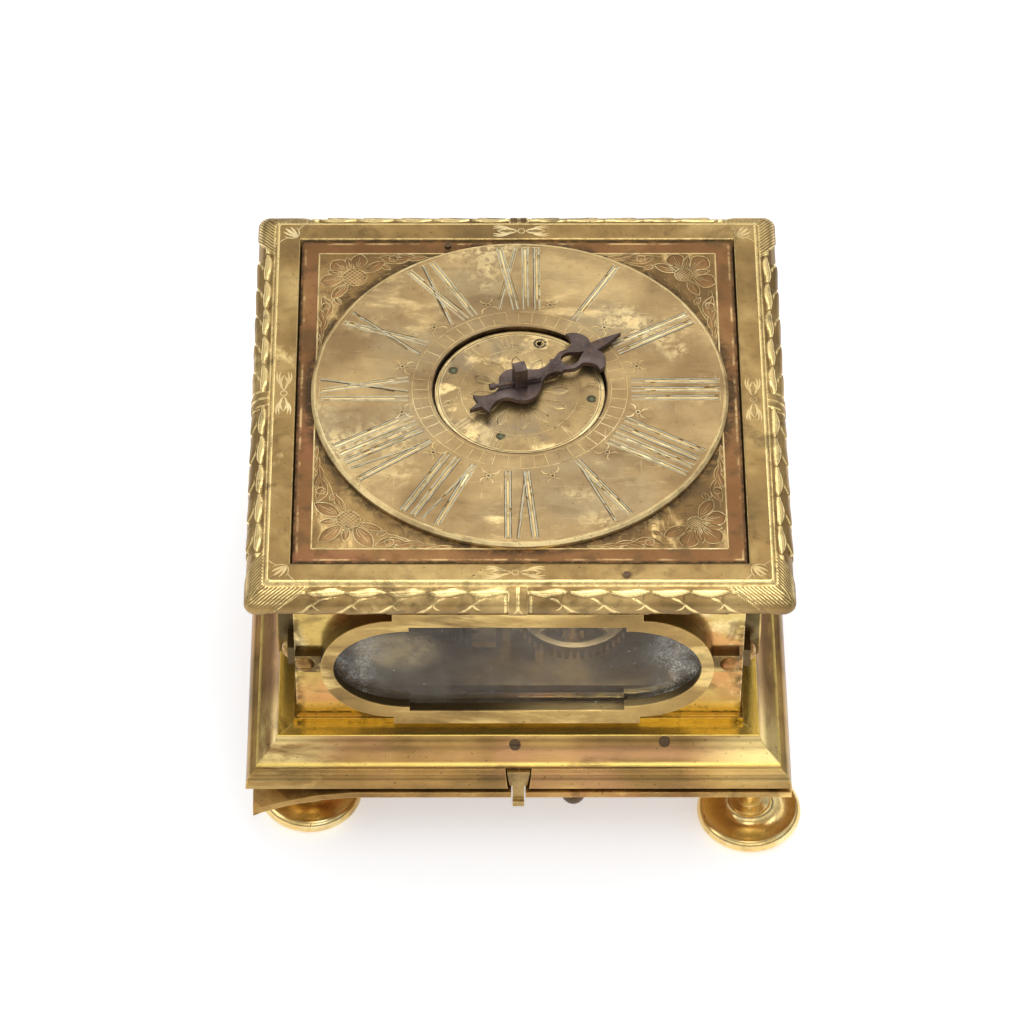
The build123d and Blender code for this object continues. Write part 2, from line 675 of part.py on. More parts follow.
def dial_plate():
    """Square plate with a recess for the alarm disc and four feet down to the movement."""
    size = 2 * (OPENING_HALF - DIAL_PLATE_GAP)
    plate = upright(Rectangle(size, size), DIAL_PLATE_BOTTOM, DIAL_PLATE_TOP)
    plate -= rod(RING_HOLE_R, RECESS_Z, DIAL_PLATE_TOP + CUT, CENTRE)
    plate -= rod(ALARM_PIPE_R + PIVOT_CLEAR, DIAL_PLATE_BOTTOM - CUT, RECESS_Z + CUT, CENTRE)
    for x in (-DIAL_FOOT_AT, DIAL_FOOT_AT):
        for y in (-DIAL_FOOT_AT, DIAL_FOOT_AT):
            plate += rod(DIAL_FOOT_R, UPPER_TOP, DIAL_PLATE_BOTTOM, (x, y))
    return plate - rod(DIAL_PIN_R, DIAL_PLATE_BOTTOM - CUT, DIAL_PLATE_TOP + CUT, DIAL_PIN)


def stroke(start, end, width):
    """A straight stroke between two points of a numeral, cut square at the top and bottom."""
    (x0, y0), (x1, y1) = start, end
    half = width / 2
    return make_face(Polyline((x0 - half, y0), (x0 + half, y0), (x1 + half, y1), (x1 - half, y1), close=True))


def numeral(letters):
    """A Roman numeral standing on its inner end, centred on x = 0."""
    low, high = NUMERAL_INNER_R, NUMERAL_OUTER_R
    widths = {"I": NARROW_LETTER_W, "V": WIDE_LETTER_W, "X": WIDE_LETTER_W}
    total = sum(widths[letter] for letter in letters)
    left = -total / 2
    strokes = []
    for letter in letters:
        width = widths[letter]
        middle = left + width / 2
        reach = width / 2 - THICK_STROKE / 2 - LETTER_SPACE
        if letter == "I":
            strokes.append(stroke((middle, low), (middle, high), THICK_STROKE))
        elif letter == "V":
            strokes.append(stroke((middle, low), (middle - reach, high), THICK_STROKE))
            strokes.append(stroke((middle, low), (middle + reach, high), THIN_STROKE))
        else:
            strokes.append(stroke((middle + reach, low), (middle - reach, high), THICK_STROKE))
            strokes.append(stroke((middle - reach, low), (middle + reach, high), THIN_STROKE))
        left += width
    face = strokes[0]
    for other in strokes[1:]:
        face += other
    return face


NUMERALS = ["XII", "I", "II", "III", "IIII", "V", "VI", "VII", "VIII", "IX", "X", "XI"]


def chapter_ring():
    """Hour ring with a bevelled rim and engraved numerals, tops outwards, XII at the back."""
    profile = make_face(
        Polyline(
            (RING_HOLE_R, 0, 0),
            (RING_R, 0, 0),
            (RING_R, 0, RING_T - RING_BEVEL),
            (RING_R - RING_BEVEL, 0, RING_T),
            (RING_HOLE_R, 0, RING_T),
            close=True,
        )
    )
    ring = revolve(profile, axis=Axis.Z)
    for hour, letters in enumerate(NUMERALS):
        cut = extrude(numeral(letters), NUMERAL_DEPTH + CUT)
        ring -= Rot(0, 0, -360 / len(NUMERALS) * hour) * (Pos(0, 0, RING_T - NUMERAL_DEPTH) * cut)
    return Pos(DIAL_X, DIAL_Y, DIAL_PLATE_TOP) * ring


def dial_pins():
    """The iron pin in the dial plate and the rivet in the border."""
    pin = rod(DIAL_PIN_R, DIAL_PLATE_BOTTOM, DIAL_PLATE_TOP + DIAL_PIN_PROUD, DIAL_PIN)
    rivet = rod(BORDER_RIVET_R, DIAL_PLATE_BOTTOM - LEDGE_T, BORDER_FLAT_Z, BORDER_RIVET)
    return Compound(children=[pin, rivet])


def alarm_disc():
    """Setting disc on a pipe that turns on the hour arbor; one of its four peg holes is open."""
    disc = rod(ALARM_DISC_R, ALARM_DISC_BOTTOM, ALARM_DISC_TOP)
    disc += rod(ALARM_PIPE_R, ALARM_DISC_BOTTOM - ALARM_PIPE_LENGTH, ALARM_DISC_BOTTOM)
    disc -= rod(HOUR_HOLE_R, ALARM_DISC_BOTTOM - ALARM_PIPE_LENGTH - CUT, ALARM_DISC_TOP + CUT)
    peg_at = polar((0, 0), PEG_START, PEG_CIRCLE_R)
    disc -= rod(PEG_HOLE_R, ALARM_DISC_BOTTOM - CUT, ALARM_DISC_TOP + CUT, peg_at)
    return Pos(DIAL_X, DIAL_Y, 0) * disc


def mirrored_face(runs):
    """A face from one side of its outline, given as smooth runs that start and end on the X axis."""
    curves = [Line(*run) if len(run) == 2 else Spline(*run) for run in runs]
    return make_face(Curve() + curves + [mirror(curve, Plane.XZ) for curve in curves])


def hand():
    """Pierced hand: fleur-shaped tail, round boss, looped head with two horns and a spear."""
    face = mirrored_face(HAND_RUNS) - mirrored_face([HAND_EYE])
    body = Pos(DIAL_X, DIAL_Y, HAND_BOTTOM) * Rot(0, 0, HAND_ANGLE) * extrude(face, HAND_T)
    body += rod(HAND_COLLAR_R, COLLAR_Z, HAND_BOTTOM, CENTRE)
    side = SQUARE + 2 * SQUARE_FIT
    return body - upright(Rectangle(side, side), ALARM_DISC_TOP, HAND_TOP + CUT, CENTRE, SQUARE_TURN)


def hand_pin(radius, knob):
    """Taper pin through the squared end, just above the hand."""
    start, end = HAND_PIN_ENDS
    pin = level_rod(radius, start, end, 0, 0)
    if knob:
        pin += level_rod(HAND_PIN_KNOB_R, start, start + HAND_PIN_KNOB_LENGTH, 0, 0)
    return Pos(DIAL_X, DIAL_Y, HAND_TOP + HAND_PIN_LIFT) * Rot(0, 0, SQUARE_TURN) * pin


# Wheel work


def toothed_outline(teeth, module, phase=0.0):
    """A wheel's outline with tapered teeth; one tooth points along phase, in degrees."""
    radius = pitch_r(teeth, module)
    root, tip = radius - TOOTH_ROOT * module, radius + TOOTH_TIP * module
    pitch = 2 * pi / teeth
    rising = ((root, -TOOTH_ROOT_SHARE), (tip, -TOOTH_TIP_SHARE))
    corners = (*rising, *[(r, -share) for r, share in reversed(rising)])
    points = []
    for i in range(teeth):
        for r, share in corners:
            turn = radians(phase) + (i + share) * pitch
            points.append((r * cos(turn), r * sin(turn)))
    return make_face(Polyline(*points, close=True))


def crossed_face(outline, rim_r, spokes, spoke_turn=45.0, hub_r=HUB_R):
    """An outline opened between a rim and a hub, leaving spokes."""
    face = outline - Circle(rim_r)
    for i in range(spokes):
        arm = Pos((rim_r + SPOKE_LAP) / 2, 0) * Rectangle(rim_r + SPOKE_LAP, SPOKE_W)
        face += Rot(0, 0, spoke_turn + i * 360 / spokes) * arm
    return face + Circle(hub_r)


def wheel(teeth, module, where, low, phase=0.0, hub_r=HUB_R):
    """A crossed-out wheel with one tooth along phase, in degrees."""
    rim_r = pitch_r(teeth, module) - (TOOTH_ROOT * module + RIM_W)
    face = crossed_face(toothed_outline(teeth, module, phase), rim_r, SPOKES, hub_r=hub_r)
    return upright(face, low, low + WHEEL_T, where)


def pinion(leaves, module, where, wheel_z, phase):
    """A pinion beside the wheel that it meshes with, a little taller than that wheel."""
    outline = toothed_outline(leaves, module, phase)
    return upright(outline, wheel_z - PINION_OVER, wheel_z + WHEEL_T + PINION_OVER, where)


def arbor(where, radius=ARBOR_R):
    """An arbor between the movement plates, with a pivot at each end."""
    body = rod(radius, LOWER_TOP + END_SHAKE, UPPER_Z - END_SHAKE, where)
    return body + rod(PIVOT_R, LOWER_Z, UPPER_TOP, where)


def mesh_phase(driver_at, follower_at, leaves):
    """The follower's phase that turns a gap to its driver, whose tooth points at it."""
    return heading(follower_at, driver_at) + 180 / leaves


def hour_arbor():
    """Short arbor that stands on the upper plate, with a squared end for the hand."""
    body = rod(HOUR_PIVOT_R, UPPER_Z, UPPER_TOP + END_SHAKE, CENTRE)
    body += rod(HOUR_ARBOR_R, UPPER_TOP + END_SHAKE, COLLAR_Z, CENTRE)
    squared = upright(Rectangle(SQUARE, SQUARE), COLLAR_Z, SQUARE_TOP, CENTRE, SQUARE_TURN)
    return body + squared - hand_pin(HAND_PIN_HOLE_R, knob=False)


def hour_wheel():
    """Wheel on the hour arbor below the dial, driven by the report pinion."""
    body = wheel(HOUR_TEETH, MOTION_MODULE, CENTRE, HOUR_WHEEL_Z, heading(CENTRE, FUSEE_AT), hub_r=HOUR_HUB_R)
    return body - rod(HOUR_ARBOR_R, HOUR_WHEEL_Z - CUT, HOUR_WHEEL_Z + WHEEL_T + CUT, CENTRE)


def fusee():
    """Fusee with its great wheel and the report pinion that drives the hour wheel."""
    slope = (FUSEE_HIGH_R - FUSEE_LOW_R) / FUSEE_TURNS
    rise = (DRUM_HIGH - DRUM_LOW) / FUSEE_TURNS
    outline = [(0, DRUM_LOW), (FUSEE_LOW_R + FUSEE_GROOVE, DRUM_LOW)]
    for i in range(FUSEE_TURNS):
        r, z = FUSEE_LOW_R + slope * i, DRUM_LOW + rise * i
        groove = (r - FUSEE_GROOVE, z + GROOVE_LOW_SHARE * rise)
        outline += [(r, z + GROOVE_TOP_SHARE * rise), groove, (r + slope, z + rise)]
    outline.append((0, DRUM_HIGH))
    cone = revolve(make_face(Polyline(*[(r, 0, z) for r, z in outline], close=True)), axis=Axis.Z)
    body = Pos(FUSEE_AT[0], FUSEE_AT[1], 0) * cone
    body += arbor(FUSEE_AT)
    body += wheel(GREAT_TEETH, GREAT_MODULE, FUSEE_AT, GREAT_WHEEL_Z, heading(FUSEE_AT, SECOND_AT))
    body += rod(PIVOT_R, UPPER_TOP, HOUR_WHEEL_Z, FUSEE_AT)
    turn = mesh_phase(CENTRE, FUSEE_AT, REPORT_LEAVES)
    return body + pinion(REPORT_LEAVES, MOTION_MODULE, FUSEE_AT, HOUR_WHEEL_Z, turn)


def spring_barrel():
    """Mainspring barrel with raised edges, on its arbor."""
    drum = rod(BARREL_R - BARREL_EDGE, DRUM_LOW, DRUM_HIGH, BARREL_AT)
    drum += rod(BARREL_R, DRUM_LOW, DRUM_LOW + BARREL_EDGE, BARREL_AT)
    drum += rod(BARREL_R, DRUM_HIGH - BARREL_EDGE, DRUM_HIGH, BARREL_AT)
    return drum + arbor(BARREL_AT)


def gut_line():
    """The straight run of gut from the fusee's widest turn to the barrel, just clear of both."""
    start_r = FUSEE_LOW_R + GUT_R + GUT_CLEAR
    end_r = BARREL_R - BARREL_EDGE + GUT_R + GUT_CLEAR
    apart = hypot(BARREL_AT[0] - FUSEE_AT[0], BARREL_AT[1] - FUSEE_AT[1])
    lean = degrees(acos((start_r - end_r) / apart))
    side = heading(FUSEE_AT, BARREL_AT) + lean
    start, end = polar(FUSEE_AT, side, start_r), polar(BARREL_AT, side, end_r)
    length = hypot(end[0] - start[0], end[1] - start[1])
    run = level_rod(GUT_R, 0, length, 0, 0)
    return Pos(start[0], start[1], DRUM_LOW + GUT_LIFT) * Rot(0, 0, heading(start, end)) * run


def second_wheel():
    body = arbor(SECOND_AT)
    turn = mesh_phase(FUSEE_AT, SECOND_AT, SECOND_LEAVES)
    body += pinion(SECOND_LEAVES, GREAT_MODULE, SECOND_AT, GREAT_WHEEL_Z, turn)
    return body + wheel(SECOND_TEETH, SECOND_MODULE, SECOND_AT, LOW_WHEEL_Z, heading(SECOND_AT, CONTRATE_AT))


def contrate_wheel():
    """Wheel with a band of teeth that point down, seen through the front glass."""
    outer, inner = CONTRATE_R + CONTRATE_BAND / 2, CONTRATE_R - CONTRATE_BAND / 2
    web = crossed_face(Circle(outer), inner, SPOKES)
    body = upright(web, CONTRATE_WEB_Z, CONTRATE_WEB_Z + WHEEL_T, CONTRATE_AT)
    band = Circle(outer) - Circle(inner)
    teeth = upright(band, CONTRATE_WEB_Z - CONTRATE_TOOTH, CONTRATE_WEB_Z)
    half_pitch = pi * CONTRATE_R / CONTRATE_TEETH
    tip, root = CONTRATE_TIP_SHARE * half_pitch, CONTRATE_ROOT_SHARE * half_pitch
    gap = make_face(
        Polyline(
            (0, root - half_pitch, 0),
            (0, half_pitch - root, 0),
            (0, half_pitch - tip, -CONTRATE_TOOTH - CUT),
            (0, tip - half_pitch, -CONTRATE_TOOTH - CUT),
            close=True,
        )
    )
    cut = Pos(inner - CUT, 0, CONTRATE_WEB_Z) * extrude(gap, CONTRATE_BAND + 2 * CUT, dir=(1, 0, 0))
    for i in range(CONTRATE_TEETH):
        teeth -= Rot(0, 0, (i + 0.5) * 360 / CONTRATE_TEETH) * cut
    body += Pos(CONTRATE_AT[0], CONTRATE_AT[1], 0) * teeth
    body += arbor(CONTRATE_AT)
    turn = mesh_phase(SECOND_AT, CONTRATE_AT, CONTRATE_LEAVES)
    return body + pinion(CONTRATE_LEAVES, SECOND_MODULE, CONTRATE_AT, LOW_WHEEL_Z, turn)


def crown_wheel():
    """Escape wheel on a level arbor: a cup whose saw teeth point at the verge, and a small pinion."""
    mouth = CROWN_WEB_X - CROWN_DEPTH
    web = crossed_face(Circle(CROWN_R), CROWN_R - CROWN_BAND, CROWN_SPOKES, spoke_turn=0.0)
    body = Rot(0, 90, 0) * extrude(web, WHEEL_T)
    body = Pos(CROWN_WEB_X, 0, 0) * body
    cup = Circle(CROWN_R) - Circle(CROWN_R - CROWN_BAND)
    cup = Pos(mouth, 0, 0) * Rot(0, 90, 0) * extrude(cup, CROWN_DEPTH)
    pitch = 2 * pi * CROWN_R / CROWN_TEETH
    steep, root, tip = (share * pitch for share in CROWN_GAP_SHARES)
    corners = [(0, steep, 0), (0, tip, 0), (CROWN_TOOTH, root, 0), (-CUT, steep, 0)]
    gap = make_face(Polyline(*corners, close=True))
    notch = extrude(gap, CROWN_BAND + 2 * CUT, dir=(0, 0, 1))
    notch = Pos(mouth, -pitch / 2, CROWN_R - CROWN_BAND - CUT) * notch
    for i in range(CROWN_TEETH):
        cup -= Rot(i * 360 / CROWN_TEETH, 0, 0) * notch
    body += cup
    end = POTENCE_RIGHT_X + POTENCE_T
    body += level_rod(FINE_ARBOR_R, CROWN_WEB_X, POTENCE_RIGHT_X - END_SHAKE, 0, 0)
    body += level_rod(PIVOT_R, CROWN_WEB_X, end, 0, 0)
    outline = toothed_outline(CROWN_LEAVES, CROWN_MODULE, 180 / CROWN_LEAVES)
    leaves = Rot(0, 90, 0) * extrude(outline, 2 * CROWN_PINION_HALF)
    body += Pos(-CROWN_PINION_HALF, 0, 0) * leaves
    return Pos(0, CONTRATE_AT[1], CROWN_Z) * body


def balance():
    """Verge with two pallets, and the balance on its lower end."""
    rim = Circle(BALANCE_R) - Circle(BALANCE_R - BALANCE_RIM)
    face = rim + Rectangle(2 * BALANCE_R - BALANCE_RIM, BALANCE_ARM_W) + Circle(HUB_R)
    body = upright(face, BALANCE_Z, BALANCE_Z + BALANCE_T)
    body += rod(FINE_ARBOR_R, COCK_Z + COCK_T + END_SHAKE, UPPER_Z - END_SHAKE)
    body += rod(PIVOT_R, COCK_Z, UPPER_TOP)
    for z, turn in ((CROWN_Z + CROWN_R - PALLET_W, 45), (CROWN_Z - CROWN_R, -45)):
        flag = block((0, PALLET_REACH), (-PALLET_T / 2, PALLET_T / 2), (z, z + PALLET_W))
        body += Rot(0, 0, turn) * flag
    return Pos(VERGE_AT[0], VERGE_AT[1], 0) * body


# Striking


def strike_wheel():
    drum = rod(STRIKE_DRUM_R, DRUM_LOW, DRUM_HIGH, STRIKE_AT) + arbor(STRIKE_AT)
    return drum + wheel(STRIKE_TEETH, STRIKE_MODULE, STRIKE_AT, LOW_WHEEL_Z, heading(STRIKE_AT, PIN_AT))


def pin_wheel():
    body = arbor(PIN_AT)
    turn = mesh_phase(STRIKE_AT, PIN_AT, PIN_LEAVES)
    body += pinion(PIN_LEAVES, STRIKE_MODULE, PIN_AT, LOW_WHEEL_Z, turn)
    body += wheel(PIN_TEETH, PIN_MODULE, PIN_AT, PIN_WHEEL_Z, heading(PIN_AT, FLY_AT))
    top = PIN_WHEEL_Z + WHEEL_T
    for i in range(PIN_COUNT):
        body += rod(PIN_R, PIN_WHEEL_Z, top + PIN_H, polar(PIN_AT, i * 360 / PIN_COUNT, PIN_CIRCLE_R))
    ring = Circle(PIN_CIRCLE_R + PIN_BAND_HALF) - Circle(PIN_CIRCLE_R - PIN_BAND_HALF)
    return body + upright(ring, PIN_WHEEL_Z, top, PIN_AT)


def fly():
    body = arbor(FLY_AT, FINE_ARBOR_R)
    turn = mesh_phase(PIN_AT, FLY_AT, FLY_LEAVES)
    body += pinion(FLY_LEAVES, PIN_MODULE, FLY_AT, PIN_WHEEL_Z, turn)
    vane = block((-FLY_HALF, FLY_HALF), (-FLY_T / 2, FLY_T / 2), (FLY_LOW, FLY_HIGH))
    return body + Pos(FLY_AT[0], FLY_AT[1], 0) * vane


def bell():
    """Bell with its mouth up, hung under the lower plate on a post."""
    outer = [(0, 0, BELL_LOW), (BELL_CROWN_R, 0, BELL_LOW), (BELL_R, 0, BELL_HIGH)]
    curve = Spline(outer[1], outer[2], tangents=[(1, 0, 0), (0, 0, 1)])
    inner_curve = Spline(
        (BELL_R - BELL_T, 0, BELL_HIGH),
        (BELL_CROWN_R, 0, BELL_LOW + BELL_T),
        tangents=[(0, 0, -1), (-1, 0, 0)],
    )
    walls = [
        Line(outer[0], outer[1]),
        curve,
        Line(outer[2], (BELL_R - BELL_T, 0, BELL_HIGH)),
        inner_curve,
        Polyline((BELL_CROWN_R, 0, BELL_LOW + BELL_T), (0, 0, BELL_LOW + BELL_T), outer[0]),
    ]
    bowl = turned(Curve() + walls) - rod(BELL_STUD_R, 0, BEYOND)
    return Pos(BELL_AT[0], BELL_AT[1], 0) * bowl


def bell_post():
    """Post and nut that carry the bell."""
    post = rod(BELL_POST_R, BELL_LOW + BELL_T, LOWER_Z) + rod(BELL_STUD_R, BELL_LOW, BELL_LOW + BELL_T)
    nut = upright(RegularPolygon(BELL_NUT_R, 4), BELL_LOW - BELL_NUT_H, BELL_LOW)
    return Pos(BELL_AT[0], BELL_AT[1], 0) * (post + nut)


def strike_hammer():
    """Hammer on an upright arbor: head beside the bell, tail towards the pins of the pin wheel."""
    body = rod(FINE_ARBOR_R, HAMMER_LOW, UPPER_Z - END_SHAKE, HAMMER_AT)
    body += rod(PIVOT_R, LOWER_Z, UPPER_TOP, HAMMER_AT)
    head_at = polar(BELL_AT, HAMMER_BEARING, BELL_R + HAMMER_REST_GAP + HAMMER_HEAD_R)
    reach = hypot(head_at[0] - HAMMER_AT[0], head_at[1] - HAMMER_AT[1])
    level = (HAMMER_LOW + HAMMER_HIGH - HAMMER_ARM_T) / 2
    arm = Pos(reach / 2, 0) * Rectangle(reach, HAMMER_ARM_W) + Circle(HAMMER_ARM_W)
    body += upright(arm, level, level + HAMMER_ARM_T, HAMMER_AT, heading(HAMMER_AT, head_at))
    body += rod(HAMMER_HEAD_R, HAMMER_LOW, HAMMER_HIGH, head_at)
    tail = hypot(PIN_AT[0] - HAMMER_AT[0], PIN_AT[1] - HAMMER_AT[1]) - PIN_CIRCLE_R - PIN_R - HAMMER_TAIL_GAP
    tail_face = Pos(tail / 2, 0) * Rectangle(tail, HAMMER_ARM_W) + Circle(HAMMER_ARM_W)
    tail_z = PIN_WHEEL_Z + WHEEL_T + PIN_H - HAMMER_ARM_T
    return body + upright(tail_face, tail_z, tail_z + HAMMER_ARM_T, HAMMER_AT, heading(HAMMER_AT, PIN_AT))


# Frame of the movement

ARBORS = [FUSEE_AT, BARREL_AT, SECOND_AT, CONTRATE_AT, STRIKE_AT, PIN_AT, FLY_AT]


def lower_plate():
    """Plate that the trains stand on, with rails out to the case at the corners."""
    plate = upright(Rectangle(2 * MOVE_HALF, 2 * MOVE_HALF), LOWER_Z, LOWER_TOP)
    inner = WALL_HALF - WALL_T
    for turn in SIDES.values():
        rail = block((-RAIL_W, RAIL_W), (-inner, -MOVE_HALF + CUT), (SHELF_Z, LOWER_TOP))
        plate += Rot(0, 0, turn) * (Pos(-MOVE_HALF + 2 * RAIL_W, 0, 0) * rail)
    for where in ARBORS:
        plate -= rod(PIVOT_HOLE_R, LOWER_Z - CUT, LOWER_TOP + CUT, where)
    for where in (VERGE_AT, HAMMER_AT):
        plate -= rod(FINE_ARBOR_R + PIVOT_CLEAR, LOWER_Z - CUT, LOWER_TOP + CUT, where)
    return plate


def upper_plate():
    plate = upright(Rectangle(2 * MOVE_HALF, 2 * MOVE_HALF), UPPER_Z, UPPER_TOP)
    for where in ARBORS + [VERGE_AT, HAMMER_AT]:
        plate -= rod(PIVOT_HOLE_R, UPPER_Z - CUT, UPPER_TOP + CUT, where)
    return plate - rod(HOUR_PIVOT_R + PIVOT_CLEAR, UPPER_Z - CUT, UPPER_TOP + CUT, CENTRE)


def pillars():
    """Four turned pillars between the plates."""
    middle = (LOWER_TOP + UPPER_Z) / 2
    points = [
        (PILLAR_KNOP_R, LOWER_TOP),
        (PILLAR_KNOP_R, LOWER_TOP + PILLAR_FOOT_H),
        (PILLAR_R, LOWER_TOP + PILLAR_TAPER_H),
        (PILLAR_R, middle - PILLAR_TAPER_H),
        (PILLAR_KNOP_R, middle),
        (PILLAR_R, middle + PILLAR_TAPER_H),
        (PILLAR_R, UPPER_Z - PILLAR_TAPER_H),
        (PILLAR_KNOP_R, UPPER_Z - PILLAR_FOOT_H),
        (PILLAR_KNOP_R, UPPER_Z),
    ]
    outline = [(0, LOWER_TOP), *points, (0, UPPER_Z)]
    pillar = revolve(make_face(Polyline(*[(r, 0, z) for r, z in outline], close=True)), axis=Axis.Z)
    corners = [(x, y) for x in (-PILLAR_AT, PILLAR_AT) for y in (-PILLAR_AT, PILLAR_AT)]
    return Compound(children=[Pos(x, y, 0) * pillar for x, y in corners])


def potences():
    """Two brackets on the lower plate that carry the crown wheel's level arbor."""
    y = CONTRATE_AT[1]
    left_x = -CROWN_PINION_HALF - END_SHAKE - POTENCE_T
    top = CROWN_Z + POTENCE_HALF
    left = block((left_x, left_x + POTENCE_T), (y - POTENCE_HALF, y + POTENCE_HALF), (LOWER_TOP, top))
    right_span = (POTENCE_RIGHT_X, POTENCE_RIGHT_X + POTENCE_T)
    foot_front, foot_back = (y - out for out in POTENCE_FOOT_OUT)
    right = block(right_span, (foot_front, foot_back), (LOWER_TOP, top))
    right += block(right_span, (foot_front, y + POTENCE_HALF), (CROWN_Z - POTENCE_HALF, top))
    left -= level_rod(FINE_ARBOR_R + PIVOT_CLEAR, left_x - CUT, left_x + POTENCE_T + CUT, y, CROWN_Z)
    right -= level_rod(PIVOT_HOLE_R, right_span[0] - CUT, right_span[1] + CUT, y, CROWN_Z)
    return Compound(children=[left, right])


def balance_cock():
    """Cock under the lower plate with the verge's lower pivot hole."""
    y_span = (VERGE_AT[1] - COCK_HALF, VERGE_AT[1] + COCK_HALF)
    leg_x = VERGE_X - BALANCE_R - COCK_LEG_GAP
    leg = block((leg_x - COCK_LEG_W, leg_x), y_span, (COCK_Z, LOWER_Z))
    arm = block((leg_x - COCK_LEG_W, VERGE_X + COCK_HALF), y_span, (COCK_Z, COCK_Z + COCK_T))
    return leg + arm - rod(PIVOT_HOLE_R, COCK_Z - CUT, COCK_Z + COCK_T + CUT, VERGE_AT)


# Base plate


def bent_corner():
    """The front left corner, bent down in small steps, with its crease across the diagonal."""
    step = BENT_FROM * BENT_REACH / BENT_STEPS
    points = [(-CUT, 0.0), (0.0, 0.0)]
    for i in range(BENT_STEPS):
        slope = radians(BENT_ANGLE * (i + 1) / BENT_STEPS)
        points.append((points[-1][0] + step * cos(slope), points[-1][1] - step * sin(slope)))
    lower = [(d, PLATE_BOTTOM + z) for d, z in points]
    upper = [(d, z + PLATE_T) for d, z in reversed(lower)]
    side_view = make_face(Polyline(*[(d, 0, z) for d, z in lower + upper], close=True))
    strip = extrude(side_view, 2 * BENT_FROM, both=True)
    return crease() * strip


def crease():
    """The middle of the bent corner's crease, with X towards the corner."""
    where = polar(PLATE_CORNER, 45, BENT_FROM)
    return Pos(where[0], where[1], 0) * Rot(0, 0, -135)


def base_plate():
    """Plate under the case, hinged at the back, notched for the catch, with one corner bent down."""
    outline = Rectangle(2 * PLATE_HALF_X, 2 * PLATE_HALF)
    plate = upright(outline, PLATE_BOTTOM, PLATE_TOP, (PLATE_X, 0))
    plate -= crease() * block((0, BEYOND), (-BEYOND, BEYOND), (0, BEYOND))
    plate += bent_corner() & upright(outline, 0, BEYOND, (PLATE_X, 0))
    notch_half = CATCH_W / 2 + CATCH_CLEAR
    notch_back = -CATCH_Y + CATCH_T + NIB + CATCH_CLEAR
    plate -= block((-notch_half, notch_half), (-BEYOND, notch_back), (0, BEYOND))
    plate -= rod(BUTTON_SHANK_R, 0, BEYOND, BUTTON_AT)
    swing = HINGE_R + HINGE_SWING_GAP
    notch = HINGE_HALF + HINGE_NOTCH_GAP
    plate -= block((-notch, notch), (HINGE_Y - swing, BEYOND), (0, BEYOND))
    knuckle = level_rod(HINGE_R, -KNUCKLE_HALF, KNUCKLE_HALF, HINGE_Y, HINGE_Z)
    web = block((-KNUCKLE_HALF, KNUCKLE_HALF), (HINGE_Y - swing - CUT, HINGE_Y), (PLATE_BOTTOM, PLATE_TOP))
    plate += knuckle + web
    return plate - level_rod(HINGE_PIN_R + HINGE_PIN_CLEAR, -HINGE_HALF, HINGE_HALF, HINGE_Y, HINGE_Z)


def hinge_leaf():
    """Two fixed knuckles on a leaf that lies against the back of the base moulding."""
    leaf_y = (BASE_HALF, BASE_HALF + HINGE_LEAF_T)
    leaf_top = BASE_BOTTOM + HINGE_LEAF_H
    body = block((-HINGE_HALF, HINGE_HALF), leaf_y, (BASE_BOTTOM + BAND_CHAMFER, leaf_top))
    for low, high in ((-HINGE_HALF, -KNUCKLE_HALF - KNUCKLE_GAP), (KNUCKLE_HALF + KNUCKLE_GAP, HINGE_HALF)):
        body += level_rod(HINGE_R, low, high, HINGE_Y, HINGE_Z)
        body += block((low, high), leaf_y, (HINGE_Z, leaf_top))
    return body - level_rod(HINGE_PIN_R, -HINGE_HALF, HINGE_HALF, HINGE_Y, HINGE_Z)


def hinge_pin():
    return level_rod(HINGE_PIN_R, -HINGE_HALF, HINGE_HALF, HINGE_Y, HINGE_Z)


def foot():
    """A turned foot: wide disc with a rounded rim, hollow cone, ring and a bulbous stem."""
    stem_low = FOOT_RING_Z + FOOT_RING_H
    bulb_z = (stem_low + PLATE_BOTTOM) / 2 + FOOT_BULB_LIFT
    neck_z = stem_low + FOOT_NECK_H
    collar_z = PLATE_BOTTOM - FOOT_COLLAR_H
    rim_in = FOOT_R - FOOT_RIM_IN
    edge = (FOOT_R - FOOT_EDGE_IN, 0, FOOT_EDGE_Z)
    outline = [
        Line((0, 0, 0), (FOOT_FLAT_R, 0, 0)),
        Line((FOOT_FLAT_R, 0, 0), edge),
        ThreePointArc(edge, (FOOT_R, 0, FOOT_RIM_Z), (rim_in, 0, FOOT_RIM_TOP)),
        Spline(
            (rim_in, 0, FOOT_RIM_TOP),
            (FOOT_DISH_R, 0, FOOT_DISH_Z),
            (FOOT_RING_R, 0, FOOT_RING_Z),
            tangents=[(-1, 0, -0.4), (-0.5, 0, 1)],
        ),
        Line((FOOT_RING_R, 0, FOOT_RING_Z), (FOOT_RING_R, 0, stem_low)),
        Line((FOOT_RING_R, 0, stem_low), (FOOT_NECK_R, 0, neck_z)),
        Spline(
            (FOOT_NECK_R, 0, neck_z),
            (FOOT_BULB_R, 0, bulb_z),
            (FOOT_COLLAR_NECK_R, 0, collar_z),
            tangents=[(0.1, 0, 1), (-0.3, 0, 1)],
        ),
        Polyline(
            (FOOT_COLLAR_NECK_R, 0, collar_z),
            (FOOT_COLLAR_R, 0, collar_z),
            (FOOT_COLLAR_R, 0, PLATE_BOTTOM),
            (0, 0, PLATE_BOTTOM),
            (0, 0, 0),
        ),
    ]
    return turned(Curve() + outline)


